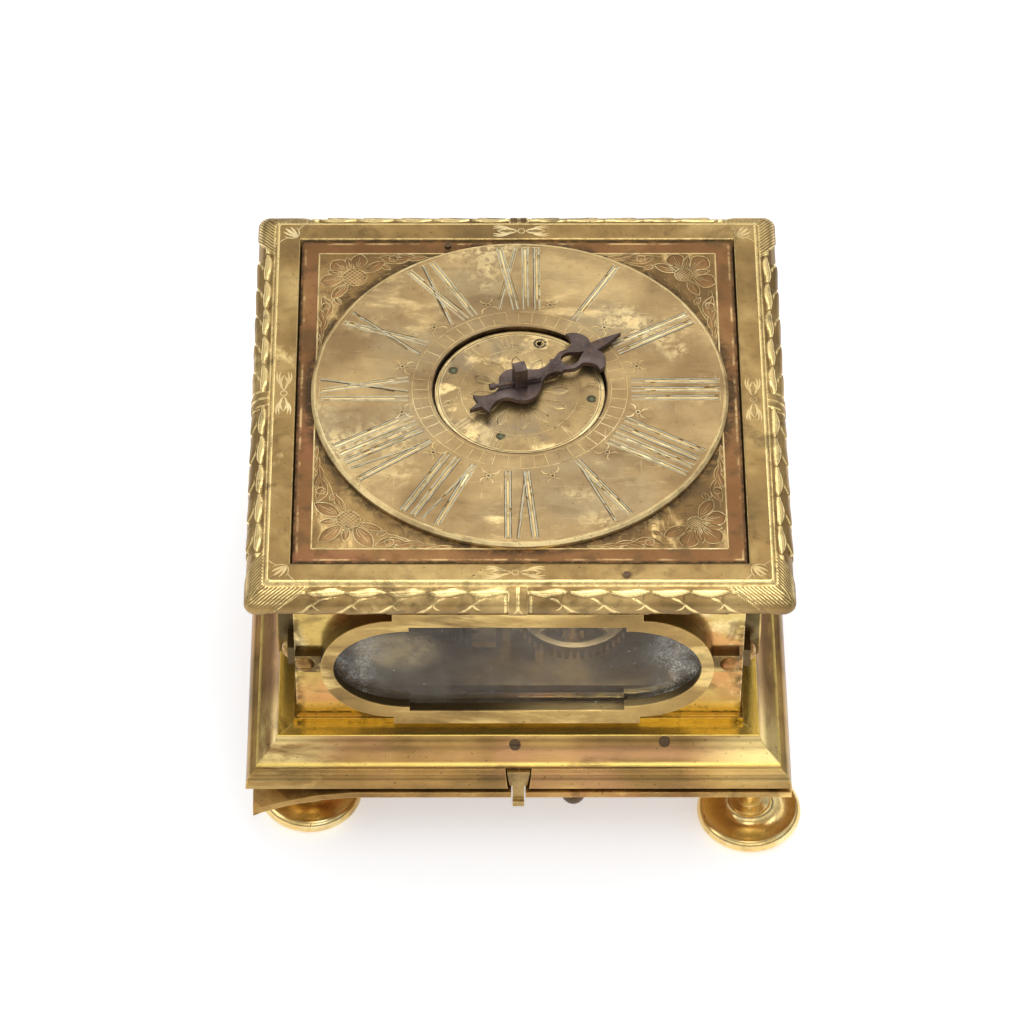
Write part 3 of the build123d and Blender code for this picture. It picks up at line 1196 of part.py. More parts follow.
def plate_screw():
    """Domed screw head under the base plate."""
    dome_r = (BUTTON_R**2 + BUTTON_H**2) / (2 * BUTTON_H)
    dome = Pos(0, 0, dome_r - BUTTON_H) * Sphere(dome_r)
    dome &= Pos(0, 0, -BUTTON_H) * Cylinder(BUTTON_R + CUT, BUTTON_H, align=UP)
    body = Pos(0, 0, PLATE_BOTTOM) * dome + rod(BUTTON_SHANK_R, PLATE_BOTTOM - BUTTON_H / 2, PLATE_TOP)
    return Pos(BUTTON_AT[0], BUTTON_AT[1], 0) * body


PARTS = {
    "dial_plate": dial_plate(),
    "chapter_ring": chapter_ring(),
    "dial_pins": dial_pins(),
    "alarm_disc": alarm_disc(),
    "hand": hand(),
    "hand_pin": hand_pin(HAND_PIN_R, knob=True),
    "hour_arbor": hour_arbor(),
    "hour_wheel": hour_wheel(),
    "base_screws": base_screws(),
    "catch": catch(),
    "lower_plate": lower_plate(),
    "upper_plate": upper_plate(),
    "pillars": pillars(),
    "potences": potences(),
    "balance_cock": balance_cock(),
    "fusee": fusee(),
    "spring_barrel": spring_barrel(),
    "gut_line": gut_line(),
    "second_wheel": second_wheel(),
    "contrate_wheel": contrate_wheel(),
    "crown_wheel": crown_wheel(),
    "balance": balance(),
    "strike_wheel": strike_wheel(),
    "pin_wheel": pin_wheel(),
    "fly": fly(),
    "bell": bell(),
    "bell_post": bell_post(),
    "strike_hammer": strike_hammer(),
    "base_plate": base_plate(),
    "hinge_leaf": hinge_leaf(),
    "hinge_pin": hinge_pin(),
    "plate_screw": plate_screw(),
}
for side in SIDES:
    PARTS["border_" + side] = side_border(side)
    PARTS["moulding_" + side] = side_base(side)
    PARTS["wall_" + side] = side_wall(side)
    PARTS["bezel_" + side] = side_bezel(side)
    PARTS["glass_" + side] = side_glass(side)
    PARTS["bezel_screws_" + side] = side_screws(side)
for name, (in_x, in_y) in FEET_IN.items():
    x = (BASE_HALF - in_x) * (-1 if name.endswith("left") else 1)
    y = (BASE_HALF - in_y) * (-1 if "front" in name else 1)
    PARTS[name] = Pos(x, y, 0) * foot()

os.makedirs("parts", exist_ok=True)
for name, shape in PARTS.items():
    export_step(shape, f"parts/{name}.step")
print(len(PARTS), "pieces")
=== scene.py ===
"""Looks of the horizontal table clock: worn gilt brass, engraved dial, carved laurel border, old iron hand."""

from math import atan2, cos, degrees, hypot, pi, radians, sin, sqrt
import random

import bpy
import bmesh
import numpy as np
from mathutils import Matrix, Vector


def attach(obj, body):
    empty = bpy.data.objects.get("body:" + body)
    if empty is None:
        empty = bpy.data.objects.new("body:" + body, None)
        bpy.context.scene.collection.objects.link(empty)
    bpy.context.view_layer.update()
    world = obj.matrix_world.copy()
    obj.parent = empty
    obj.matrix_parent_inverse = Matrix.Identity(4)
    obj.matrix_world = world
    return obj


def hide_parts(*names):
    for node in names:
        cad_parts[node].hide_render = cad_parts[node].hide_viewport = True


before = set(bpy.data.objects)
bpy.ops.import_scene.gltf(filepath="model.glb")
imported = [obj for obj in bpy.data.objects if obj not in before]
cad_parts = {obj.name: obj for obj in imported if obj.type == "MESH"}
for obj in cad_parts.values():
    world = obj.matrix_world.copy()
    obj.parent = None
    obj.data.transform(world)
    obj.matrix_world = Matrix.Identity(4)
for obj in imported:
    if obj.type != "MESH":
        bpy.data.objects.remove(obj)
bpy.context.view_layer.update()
MM = 0.001

# The frame's middle and heights that the looks are built on, in millimetres
DIAL = (0.3, 1.2)
FLAT_TOP = 85.0  # of the border
DIAL_TOP = 84.7
RING_TOP = 86.1
RING_R = 46.7
DISC_TOP = 85.05

# Camera: a long lens above the front, with the photograph's framing, in degrees, pixels and millimetres
TILT, PAN, ROLL = 47.467, 0.15, 0.078
PHOTO_PX = 1024
FOCAL_PX = 5110.6
MIDDLE_PX = (484.91, 475.13)
SENSOR = 36
CAMERA_AT = (-9.533, -785.39, 915.102)


def make_camera():
    tilt, pan, roll = (radians(angle) for angle in (TILT, PAN, ROLL))
    forward = Vector((sin(pan) * cos(tilt), cos(pan) * cos(tilt), -sin(tilt)))
    right = forward.cross(Vector((0, 0, 1))).normalized()
    up = right.cross(forward)
    c, s = cos(roll), sin(roll)
    right, up = c * right + s * up, c * up - s * right
    data = bpy.data.cameras.new("camera")
    data.sensor_width = SENSOR
    data.lens = FOCAL_PX / PHOTO_PX * SENSOR
    data.shift_x = (PHOTO_PX / 2 - MIDDLE_PX[0]) / PHOTO_PX
    data.shift_y = (MIDDLE_PX[1] - PHOTO_PX / 2) / PHOTO_PX
    data.clip_end = 20
    camera = bpy.data.objects.new("camera", data)
    axes = Matrix((right, up, -forward)).transposed().to_4x4()
    camera.matrix_world = Matrix.Translation(Vector(CAMERA_AT) * MM) @ axes
    bpy.context.collection.objects.link(camera)
    bpy.context.scene.camera = camera


# Material helpers


class Nodes:
    """Short ways to build the node tree of a new material, or of a world."""

    def __init__(self, name, world=None):
        self.owner = world or bpy.data.materials.new(name)
        self.owner.use_nodes = True
        self.tree = self.owner.node_tree
        self.bsdf = self.tree.nodes.get("Principled BSDF")
        self.coords = self.add("TexCoord").outputs["Object"]

    def add(self, kind, **values):
        """A new node with its sockets fed; _ stands for a space in a socket's name."""
        node = self.tree.nodes.new("ShaderNode" + kind)
        for name, value in values.items():
            self.feed(node.inputs[name.replace("_", " ")], value)
        return node

    def link(self, a, b):
        self.tree.links.new(a, b)

    def feed(self, socket, value):
        """Sets a socket to a number, a colour or a vector, or links another node's output to it."""
        if isinstance(value, (int, float)):
            socket.default_value = value
        elif isinstance(value, tuple):
            socket.default_value = (*value, 1) if socket.type == "RGBA" else value
        else:
            self.link(value, socket)

    def scaled(self, x, y, z):
        """Coordinates stretched along each axis."""
        return self.add("Mapping", Vector=self.coords, Scale=(x, y, z)).outputs["Vector"]

    def noise(self, scale, detail=6.0, rough=0.55, vector=None, distortion=0.0):
        return self.add("TexNoise", Scale=scale, Detail=detail, Roughness=rough, Distortion=distortion,
                        Vector=vector or self.coords).outputs["Fac"]

    def ramp(self, value, stops):
        node = self.add("ValToRGB", Fac=value)
        points = node.color_ramp.elements
        while len(points) < len(stops):
            points.new(0.5)
        for point, (place, colour) in zip(points, stops):
            point.position, point.color = place, (*colour, 1)
        return node.outputs["Color"]

    def steps(self, value, low, high, to_low=0.0, to_high=1.0):
        """A smooth step from to_low, where value is low, to to_high, where it is high."""
        node = self.add("MapRange", Value=value, From_Min=low, From_Max=high, To_Min=to_low, To_Max=to_high)
        node.interpolation_type = "SMOOTHSTEP"
        return node.outputs["Result"]

    def within(self, value, start, full, still, end):
        """1 where value is from full to still, fading to 0 at start and end."""
        return self.times(self.steps(value, start, full), self.steps(value, end, still))

    def mix(self, factor, a, b):
        node = self.add("Mix")
        node.data_type = "RGBA"
        for number, value in ((0, factor), (6, a), (7, b)):
            self.feed(node.inputs[number], value)
        return node.outputs[2]

    def math(self, kind, a, b=0.0):
        node = self.add("Math")
        node.operation = kind
        for socket, value in zip(node.inputs, (a, b)):
            self.feed(socket, value)
        return node.outputs[0]

    def times(self, a, b):
        return self.math("MULTIPLY", a, b)

    def plus(self, a, b):
        return self.math("ADD", a, b)

    def larger(self, a, b):
        return self.math("MAXIMUM", a, b)

    def size(self, a):
        return self.math("ABSOLUTE", a)

    def part(self, vector, name):
        return self.add("SeparateXYZ", Vector=vector).outputs[name]

    def spots(self, noise, low, high, to_low=0.0, to_high=1.0):
        """Soft patches from a noise, given as its scale, detail and roughness."""
        return self.steps(self.noise(*noise), low, high, to_low, to_high)

    def coats(self, colour, *coats):
        """Lays each coat, given as (colour, factors), over the last one by the product of its factors."""
        for tint, factor, *others in coats:
            for other in others:
                factor = self.times(factor, other)
            colour = self.mix(factor, colour, tint)
        return colour

    def axis(self, name):
        """One coordinate of the frame, in metres, as the piece carries it."""
        return self.part(self.coords, name)

    def normal(self, name):
        """One part of the surface's direction, as the piece carries it."""
        return self.part(self.add("TexCoord").outputs["Normal"], name)

    def radius(self, centre):
        """Distance in plan from a centre given in millimetres."""
        x = self.math("SUBTRACT", self.axis("X"), centre[0] * MM)
        y = self.math("SUBTRACT", self.axis("Y"), centre[1] * MM)
        return self.math("SQRT", self.plus(self.times(x, x), self.times(y, y)))

    def rounded(self, reach):
        """A normal that softens sharp edges."""
        node = self.add("Bevel", Radius=reach)
        node.samples = 3
        return node.outputs["Normal"]

    def worn_edge(self, reach):
        """1 on the edges and 0 on the faces, from how far the softened normal leaves the face's own."""
        dot = self.add("VectorMath")
        dot.operation = "DOT_PRODUCT"
        self.link(self.rounded(reach), dot.inputs[0])
        self.link(self.add("NewGeometry").outputs["Normal"], dot.inputs[1])
        return self.steps(dot.outputs["Value"], 0.985, 0.9)

    def attribute(self, name):
        node = self.add("Attribute")
        node.attribute_name = name
        return node.outputs["Fac"]

    def bump(self, height, strength, distance, normal):
        node = self.add("Bump", Strength=strength, Distance=distance, Height=height, Normal=normal)
        return node.outputs["Normal"]

    def finish(self, colour, roughness, metallic=1.0, normal=None):
        for name, value in (("Base Color", colour), ("Roughness", roughness), ("Metallic", metallic)):
            self.feed(self.bsdf.inputs[name], value)
        if normal is not None:
            self.link(normal, self.bsdf.inputs["Normal"])
        return self.owner


# Sizes in metres: the reach of rubbed and of rounded edges, and the depth of the grain
RUBBED, ROUNDED, GRAIN = 0.00035, 0.00022, 0.00004
STAIN, PIT = (0.13, 0.08, 0.032), (0.07, 0.045, 0.02)
# Zones of wear, dirt, painted light and painted shade in metres, as (start, full) or (start, full, still full, end)
SWELL_SHEEN_Z = (0.0272, 0.0282, 0.0288, 0.0302)
QUIRK_HIGHLIGHT_Z = (0.0262, 0.0267, 0.0271, 0.0275)
SHELF_Z = (0.03145, 0.0316)
MITRE = (0.036, 0.054)
WALL_FOOT_REFLECTION_Z = (0.0392, 0.0372)
WALL_CORNER_SHADE = (0.047, 0.0494)
SHADOW_LINE_Z = (0.0342, 0.0345, 0.0349, 0.0352)
BEZEL_SIDE = (0.0536, 0.0532)
BEZEL_FOUL = (0.0525, 0.0515)
RING_RIM, RING_WALL_SHADE, RING_RUBBED = (0.0458, 0.0461), (0.01985, 0.0196), (0.025, 0.029)
PLATE_GAP_DIRT_AND_SHADE, PLATE_SHADE = (0.0486, 0.0492), (0.05, 0.0472)
PLATE_RIM = (0.0482, 0.0484, 0.0486, 0.0489)
DISC_RIM, DISC_HUB = (0.0176, 0.0182), (0.0045, 0.0022)
BLOOM_AT, BLOOM_Z, FROST = 0.027, 0.0575, (0.026, 0.037)


def worn_brass(name, dark, middle, bright, wear=0.4, grain=(1, 1, 1), roughness=(0.26, 0.42), metallic=0.88,
               attribute=None, tint=None, edge=0.8, patch_scale=70, stained=0.6, extra=None):
    """Brass with brown patina, streaked grain, and gilding left in soft patches and rubbed bright on edges."""
    n = Nodes(name)
    broad = n.noise(45, 4, 0.55)
    streaks = n.noise(300, 5, 0.6, n.scaled(*grain))
    fine = n.noise(2600, 3, 0.6, n.scaled(*grain))
    pale = tuple(0.6 * m + 0.4 * b for m, b in zip(middle, bright))
    base = n.ramp(broad, [(0.32, dark), (0.5, middle), (0.72, pale)])
    base = n.mix(n.steps(streaks, 0.45, 0.78, 0.0, 0.55), base, dark)
    if tint is not None:
        base = n.mix(n.spots((38, 3, 0.5), 0.5, 0.66, 0.0, 0.7), base, tint)
    soft = n.noise(patch_scale, 7, 0.62, n.scaled(*(max(g, 0.35) for g in grain)), distortion=0.4)
    patch = n.plus(n.times(soft, 0.8), n.times(streaks, 0.2))
    patch = n.steps(patch, 0.6 - 0.14 * wear, 0.7 - 0.14 * wear, 0.0, 0.8)
    worn = n.times(n.worn_edge(RUBBED), n.spots((220, 4, 0.6), 0.3, 0.6, 0.25, edge))
    patch = n.larger(patch, worn)
    if attribute:
        marks = n.times(n.attribute(attribute), n.plus(0.45, n.times(n.noise(600, 4), 1.1)))
        patch = n.larger(patch, n.steps(marks, 0.3, 0.7))
    colour = n.mix(patch, base, bright)
    rough = n.steps(patch, 0, 1, roughness[1], roughness[0])
    if extra is not None:
        colour, rough = extra(n, colour, rough)
    stain = n.noise(130, 7, 0.66, n.scaled(*(max(g, 0.3) for g in grain)), distortion=0.5)
    colour = n.coats(colour, (STAIN, n.steps(stain, 0.52, 0.68, 0.0, stained)),
                     (PIT, n.spots((1300, 2, 0.5), 0.68, 0.75, 0.0, 0.75)),
                     (dark, n.steps(fine, 0.45, 0.7, 0.0, 0.14)))
    normal = n.bump(n.plus(fine, n.times(streaks, 1.2)), 0.2, GRAIN, n.rounded(ROUNDED))
    return n.finish(colour, rough, metallic, normal)


def moulding_zones(along):
    """Base moulding: a yellow shelf, partly gilding and partly a painted reflection of the gilt walls, a painted
    highlight line on the quirk, a painted pinkish sheen on the low swell, and gold ends at the mitres.
    """
    def zones(n, colour, rough):
        z, run = n.axis("Z"), n.size(n.axis(along))
        flame = n.noise(90, 6, 0.65, n.scaled(0.3, 0.3, 2.0))
        shelf = n.steps(z, *SHELF_Z)
        colour = n.coats(
            colour,
            # painted pinkish sheen along the low swell
            ((0.5, 0.26, 0.13), n.within(z, *SWELL_SHEEN_Z), n.steps(flame, 0.38, 0.62, 0.1, 0.55)),
            ((1.0, 0.76, 0.3), n.steps(run, *MITRE), n.steps(flame, 0.36, 0.52),
             n.steps(z, 0.0255, 0.0265, 0.25, 1), n.steps(z, 0.0318, 0.0306, 0.3, 1), 0.85),
            # the shelf's yellow is partly its gilding and partly painted light, a painted reflection of the gilt
            # walls over its shade
            ((1.0, 0.74, 0.17), shelf, n.steps(flame, 0.25, 0.5, 0.65, 1)),
            # painted highlight line along the quirk
            ((1.0, 0.72, 0.2), n.within(z, *QUIRK_HIGHLIGHT_Z), n.steps(flame, 0.32, 0.5, 0.35, 1)),
        )
        return colour, n.math("SUBTRACT", rough, n.times(shelf, 0.12))
    return zones


def wall_zones(n, colour, rough):
    """Walls: yellow at the foot as a painted reflection of the base's gold, a thin painted shadow line, and painted
    shade at the edges.
    """
    z = n.axis("Z")
    run = n.math("MINIMUM", n.size(n.axis("X")), n.size(n.axis("Y")))
    return n.coats(
        colour,
        # painted reflection of the base's gold on the foot of the walls
        ((0.8, 0.54, 0.12), n.steps(z, *WALL_FOOT_REFLECTION_Z), 0.8),
        # painted shade in the gaps at the walls' corners
        ((0.1, 0.055, 0.02), n.steps(run, *WALL_CORNER_SHADE), n.spots((260, 6, 0.65), 0.42, 0.6), 0.9),
        # thin painted shadow line across the walls
        ((0.13, 0.07, 0.02), n.within(z, *SHADOW_LINE_Z), n.spots((400, 4), 0.35, 0.55, 0.2, 0.9)),
    ), rough


def bezel_zones(face):
    """Window frames: dark and greenish inside the opening, and foul next to the wall."""
    def zones(n, colour, rough):
        facing, depth = n.size(n.normal(face)), n.size(n.axis(face))
        return n.coats(
            colour,
            ((0.075, 0.062, 0.03), n.steps(facing, 0.5, 0.2), n.steps(depth, *BEZEL_SIDE), 0.85),
            ((0.12, 0.075, 0.03), n.spots((300, 5, 0.65), 0.4, 0.6, 0.15, 0.95), n.steps(depth, *BEZEL_FOUL)),
        ), rough
    return zones


def ring_zones(n, colour, rough):
    """Chapter ring: bright rim, painted shade on the inner wall of its hole, and brown, scratched and rubbed
    patches between.
    """
    r = n.radius(DIAL)
    scratches = [((0.98, 0.74, 0.38), n.spots((1500, 3, 0.6, n.scaled(*stretch)), 0.6, 0.7),
                  n.spots((70, 4, 0.6), 0.48, 0.64, 0.03, 0.3)) for stretch in ((0.06, 1, 1), (1, 0.08, 1))]
    return n.coats(
        colour,
        ((0.95, 0.74, 0.36), n.steps(r, *RING_RIM), n.spots((260, 4), 0.3, 0.55, 0.35, 0.95)),
        # painted shade, near black, on the inner wall of the ring's hole
        ((0.03, 0.02, 0.012), n.steps(r, *RING_WALL_SHADE)),
        ((0.27, 0.165, 0.07), n.spots((60, 6, 0.65), 0.46, 0.64), 0.55),
        *scratches,
        ((1.0, 0.78, 0.38), n.spots((34, 5, 0.6), 0.52, 0.66), n.spots((700, 3, 0.7), 0.42, 0.56),
         n.steps(r, *RING_RUBBED), 0.6),
    ), rough


def plate_zones(n, colour, rough):
    """Dial plate: stains, a broken bright rim, and dirt with painted shade in the gap outside it and round the
    chapter ring.
    """
    r = n.radius(DIAL)
    out = n.larger(n.size(n.axis("X")), n.size(n.axis("Y")))
    # dirt and painted shade in the gap at the plate's edge and round the chapter ring
    near = n.larger(n.steps(out, *PLATE_GAP_DIRT_AND_SHADE), n.steps(r, *PLATE_SHADE))
    return n.coats(
        colour,
        ((0.05, 0.032, 0.016), near, n.spots((420, 6, 0.7), 0.36, 0.56, 0.15, 0.95)),
        ((0.95, 0.68, 0.3), n.within(out, *PLATE_RIM), n.spots((180, 5, 0.6), 0.46, 0.62, 0.0, 0.55)),
        ((0.13, 0.075, 0.03), n.spots((140, 6, 0.65), 0.52, 0.66), 0.7),
    ), rough


def disc_zones(n, colour, rough):
    """Alarm disc: worn pale-gold rim band, dark middle and grey-brown patches."""
    r = n.radius(DIAL)
    return n.coats(
        colour,
        ((1.0, 0.78, 0.38), n.steps(r, *DISC_RIM), n.spots((200, 5), 0.3, 0.5, 0.4, 1)),
        ((0.1, 0.065, 0.03), n.steps(r, *DISC_HUB), 0.8),
        ((0.28, 0.22, 0.14), n.spots((80, 5, 0.6), 0.5, 0.62), 0.55),
    ), rough


# Key, name, the three colours from patina to gilding, wear, and what else a finish needs
BRASSES = (
    ("border", "border_brass", (0.19, 0.12, 0.045), (0.355, 0.222, 0.077), (1.0, 0.75, 0.32), 0.12,
     dict(attribute="wear", patch_scale=55)),
    ("gilt", "gilt_walls", (0.36, 0.21, 0.055), (0.66, 0.47, 0.135), (0.98, 0.78, 0.38), 0.6,
     dict(roughness=(0.1, 0.2), metallic=0.95, tint=(0.7, 0.3, 0.11), extra=wall_zones, patch_scale=50)),
    ("plate", "base_copper", (0.2, 0.1, 0.03), (0.42, 0.24, 0.07), (0.95, 0.66, 0.22), 0.3,
     dict(tint=(0.45, 0.17, 0.06))),
    ("catch", "catch_brass", (0.26, 0.16, 0.06), (0.5, 0.34, 0.13), (1.0, 0.75, 0.3), 0.6, {}),
    ("dial", "dial_copper", (0.19, 0.088, 0.03), (0.255, 0.122, 0.046), (0.55, 0.32, 0.115), 0.1,
     dict(tint=(0.29, 0.115, 0.055), edge=0.4, extra=plate_zones)),
    ("ring", "ring_brass", (0.29, 0.185, 0.08), (0.455, 0.31, 0.138), (0.93, 0.68, 0.31), 0.22,
     dict(tint=(0.38, 0.29, 0.16), grain=(0.4, 1, 1), patch_scale=50, stained=0.35, extra=ring_zones)),
    ("disc", "disc_brass", (0.25, 0.165, 0.075), (0.44, 0.3, 0.13), (1.0, 0.74, 0.33), 0.5,
     dict(tint=(0.3, 0.23, 0.15), patch_scale=110, extra=disc_zones)),
    ("foot", "foot_brass", (0.5, 0.31, 0.09), (0.95, 0.68, 0.26), (1.0, 0.84, 0.45), 0.6,
     dict(roughness=(0.12, 0.22), metallic=0.95, patch_scale=60, stained=0.25)),
    ("movement", "movement_brass", (0.3, 0.21, 0.09), (0.6, 0.44, 0.2), (0.85, 0.66, 0.32), 0.35, {}),
    ("steel", "old_steel", (0.14, 0.12, 0.1), (0.34, 0.32, 0.29), (0.62, 0.6, 0.56), 0.4, {}),
    ("line", "gilt_lines", (0.42, 0.28, 0.11), (0.8, 0.58, 0.25), (1.0, 0.82, 0.44), 0.7, dict(edge=0.5)),
    ("petal", "petal_copper", (0.19, 0.1, 0.036), (0.28, 0.148, 0.055), (0.66, 0.42, 0.17), 0.15, dict(edge=0.3)),
    ("core", "flower_centre", (0.2, 0.105, 0.04), (0.34, 0.19, 0.075), (0.8, 0.56, 0.24), 0.2, dict(edge=0.3)),
    ("ground", "corner_gold", (0.17, 0.1, 0.038), (0.3, 0.178, 0.06), (0.88, 0.61, 0.25), 0.38,
     dict(grain=(1.2, 0.3, 1), patch_scale=90, extra=plate_zones)),
)
# Key, name, colour, roughness, metallic
PLAINS = (
    ("screw", "dark_screw", (0.13, 0.08, 0.04), 0.4, 0.7), ("gut", "gut", (0.42, 0.27, 0.12), 0.5, 0.0),
    ("silver", "worn_silver", (0.62, 0.56, 0.38), 0.5, 0.35), ("dirt", "dirt", (0.1, 0.07, 0.035), 0.8, 0.0),
    ("verdigris", "green_rivet", (0.15, 0.165, 0.085), 0.45, 0.6),
)


def build_materials():
    m = {key: worn_brass(*look, **more) for key, *look, more in BRASSES}
    m.update((key, plain(*look)) for key, *look in PLAINS)
    for along, face, grain, drawn in (("x", "Y", (0.12, 1, 1), (0.15, 1, 1)),
                                      ("y", "X", (1, 0.12, 1), (1, 0.15, 1))):
        key = "moulding_" + along
        m[key] = worn_brass(key, (0.21, 0.125, 0.04), (0.4, 0.228, 0.068), (0.98, 0.65, 0.2), 0.28, grain=grain,
                            roughness=(0.18, 0.32), tint=(0.44, 0.22, 0.1), extra=moulding_zones(along.upper()),
                            patch_scale=60)
        key = "bezel_" + face.lower()
        m[key] = worn_brass(key, (0.24, 0.15, 0.05), (0.43, 0.27, 0.088), (0.95, 0.68, 0.25), 0.7, grain=drawn,
                            extra=bezel_zones(face), patch_scale=60)
        m["glass_" + along] = old_glass("glass_" + along, along.upper())
    m["iron"] = iron()
    return m


def iron():
    """Forged iron with a brown, slightly purple patina and small pits."""
    n = Nodes("patinated_iron")
    broad, fine = n.noise(180, 6, 0.6), n.noise(1500, 5, 0.6)
    colour = n.coats(
        n.ramp(broad, [(0.3, (0.055, 0.035, 0.028)), (0.55, (0.125, 0.088, 0.075)), (0.75, (0.22, 0.165, 0.15))]),
        ((0.19, 0.1, 0.05), n.spots((320, 5, 0.6), 0.54, 0.68, 0.0, 0.55)),
        ((0.3, 0.24, 0.21), n.steps(fine, 0.55, 0.72, 0.0, 0.6)),
        ((0.34, 0.27, 0.22), n.worn_edge(0.0002), 0.35),
    )
    normal = n.bump(n.plus(fine, broad), 0.4, 0.00008, n.rounded(0.00025))
    return n.finish(colour, n.steps(fine, 0.3, 0.7, 0.36, 0.6), 0.75, normal)


def old_glass(name, along):
    """Hazy old glass: white frost at its ends, a pale bloom left of the middle, and specks."""
    n = Nodes(name)
    run, z = n.axis(along), n.axis("Z")
    haze, fine = n.noise(110, 6, 0.62), n.noise(1500, 4, 0.6)
    off = n.plus(n.math("POWER", n.plus(run, BLOOM_AT), 2.0),
                 n.times(n.math("POWER", n.math("SUBTRACT", z, BLOOM_Z), 2.0), 2.2))
    bloom = n.times(n.steps(off, 0.00014, 0.00001), n.steps(haze, 0.3, 0.62, 0.3, 0.9))
    frost = n.times(n.steps(n.size(n.plus(run, 0.001)), *FROST), n.spots((170, 7, 0.7), 0.4, 0.62))
    grains = n.times(frost, n.spots((2600, 4, 0.75), 0.42, 0.58, 0.15, 1.0))
    specks = n.spots((1500, 2, 0.4), 0.71, 0.76, 0.0, 0.85)
    colour = n.coats(n.ramp(haze, [(0.3, (0.085, 0.065, 0.045)), (0.7, (0.17, 0.14, 0.1))]),
                     ((0.36, 0.27, 0.13), bloom), ((0.68, 0.67, 0.6), grains, 0.8), ((0.75, 0.74, 0.7), specks))
    alpha = n.plus(n.steps(haze, 0.3, 0.7, 0.34, 0.52), n.times(n.larger(grains, bloom), 0.42))
    n.link(n.larger(alpha, n.times(specks, 0.9)), n.bsdf.inputs["Alpha"])
    n.bsdf.inputs["IOR"].default_value = 1.5
    return n.finish(colour, n.steps(fine, 0.3, 0.7, 0.1, 0.22), 0.0)


def plain(name, colour, roughness, metallic=0.0):
    n = Nodes(name)
    shade = n.mix(n.spots((800, 4), 0.3, 0.7, 0.0, 0.5), colour, tuple(0.6 * c for c in colour))
    return n.finish(shade, roughness, metallic)


# The start of solids' names for each finish; the longest start that fits counts, and the rest are movement brass
FINISHES = {
    "border": "border_", "gilt": "wall_", "moulding_x": "moulding_front moulding_back", "moulding_y": "moulding_",
    "bezel_x": "bezel_", "bezel_y": "bezel_front bezel_back", "glass_x": "glass_front glass_back",
    "glass_y": "glass_", "dial": "dial_plate", "ring": "chapter_ring", "disc": "alarm_disc", "foot": "foot_",
    "iron": "hand hour_arbor", "screw": "dial_pins base_screws plate_screw", "catch": "catch", "gut": "gut_line",
    "plate": "bezel_screws base_plate hinge_leaf", "steel": "hinge_pin balance fly strike_hammer bell_post",
    "movement": "balance_cock",
}


def dress_nodes(m):
    """Every carried-over solid gets its own finish."""
    kinds = {start: kind for kind, starts in FINISHES.items() for start in starts.split()}
    for name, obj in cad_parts.items():
        start = max((start for start in kinds if name.startswith(start)), key=len, default="balance_cock")
        obj.data.materials.clear()
        obj.data.materials.append(m[kinds[start]])


# Mesh helpers


def add_mesh(name, vertices, faces, material, body, wear=None, smooth=False):
    """A mesh object in millimetres from the frame's origin, riding on a body."""
    mesh = bpy.data.meshes.new(name)
    mesh.from_pydata([tuple(c * MM for c in v) for v in vertices], [], faces)
    mesh.update()
    work = bmesh.new()
    work.from_mesh(mesh)
    bmesh.ops.recalc_face_normals(work, faces=work.faces)
    work.to_mesh(mesh)
    work.free()
    if wear is not None:
        mesh.attributes.new("wear", "FLOAT", "POINT").data.foreach_set("value", np.asarray(wear, np.float32))
    if smooth:
        mesh.polygons.foreach_set("use_smooth", [True] * len(mesh.polygons))
    mesh.materials.append(material)
    obj = bpy.data.objects.new(name, mesh)
    bpy.context.collection.objects.link(obj)
    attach(obj, body)
    return obj


LAYER, LAYERS = 0.0008, 19  # so that strips that cross don't lie in one plane


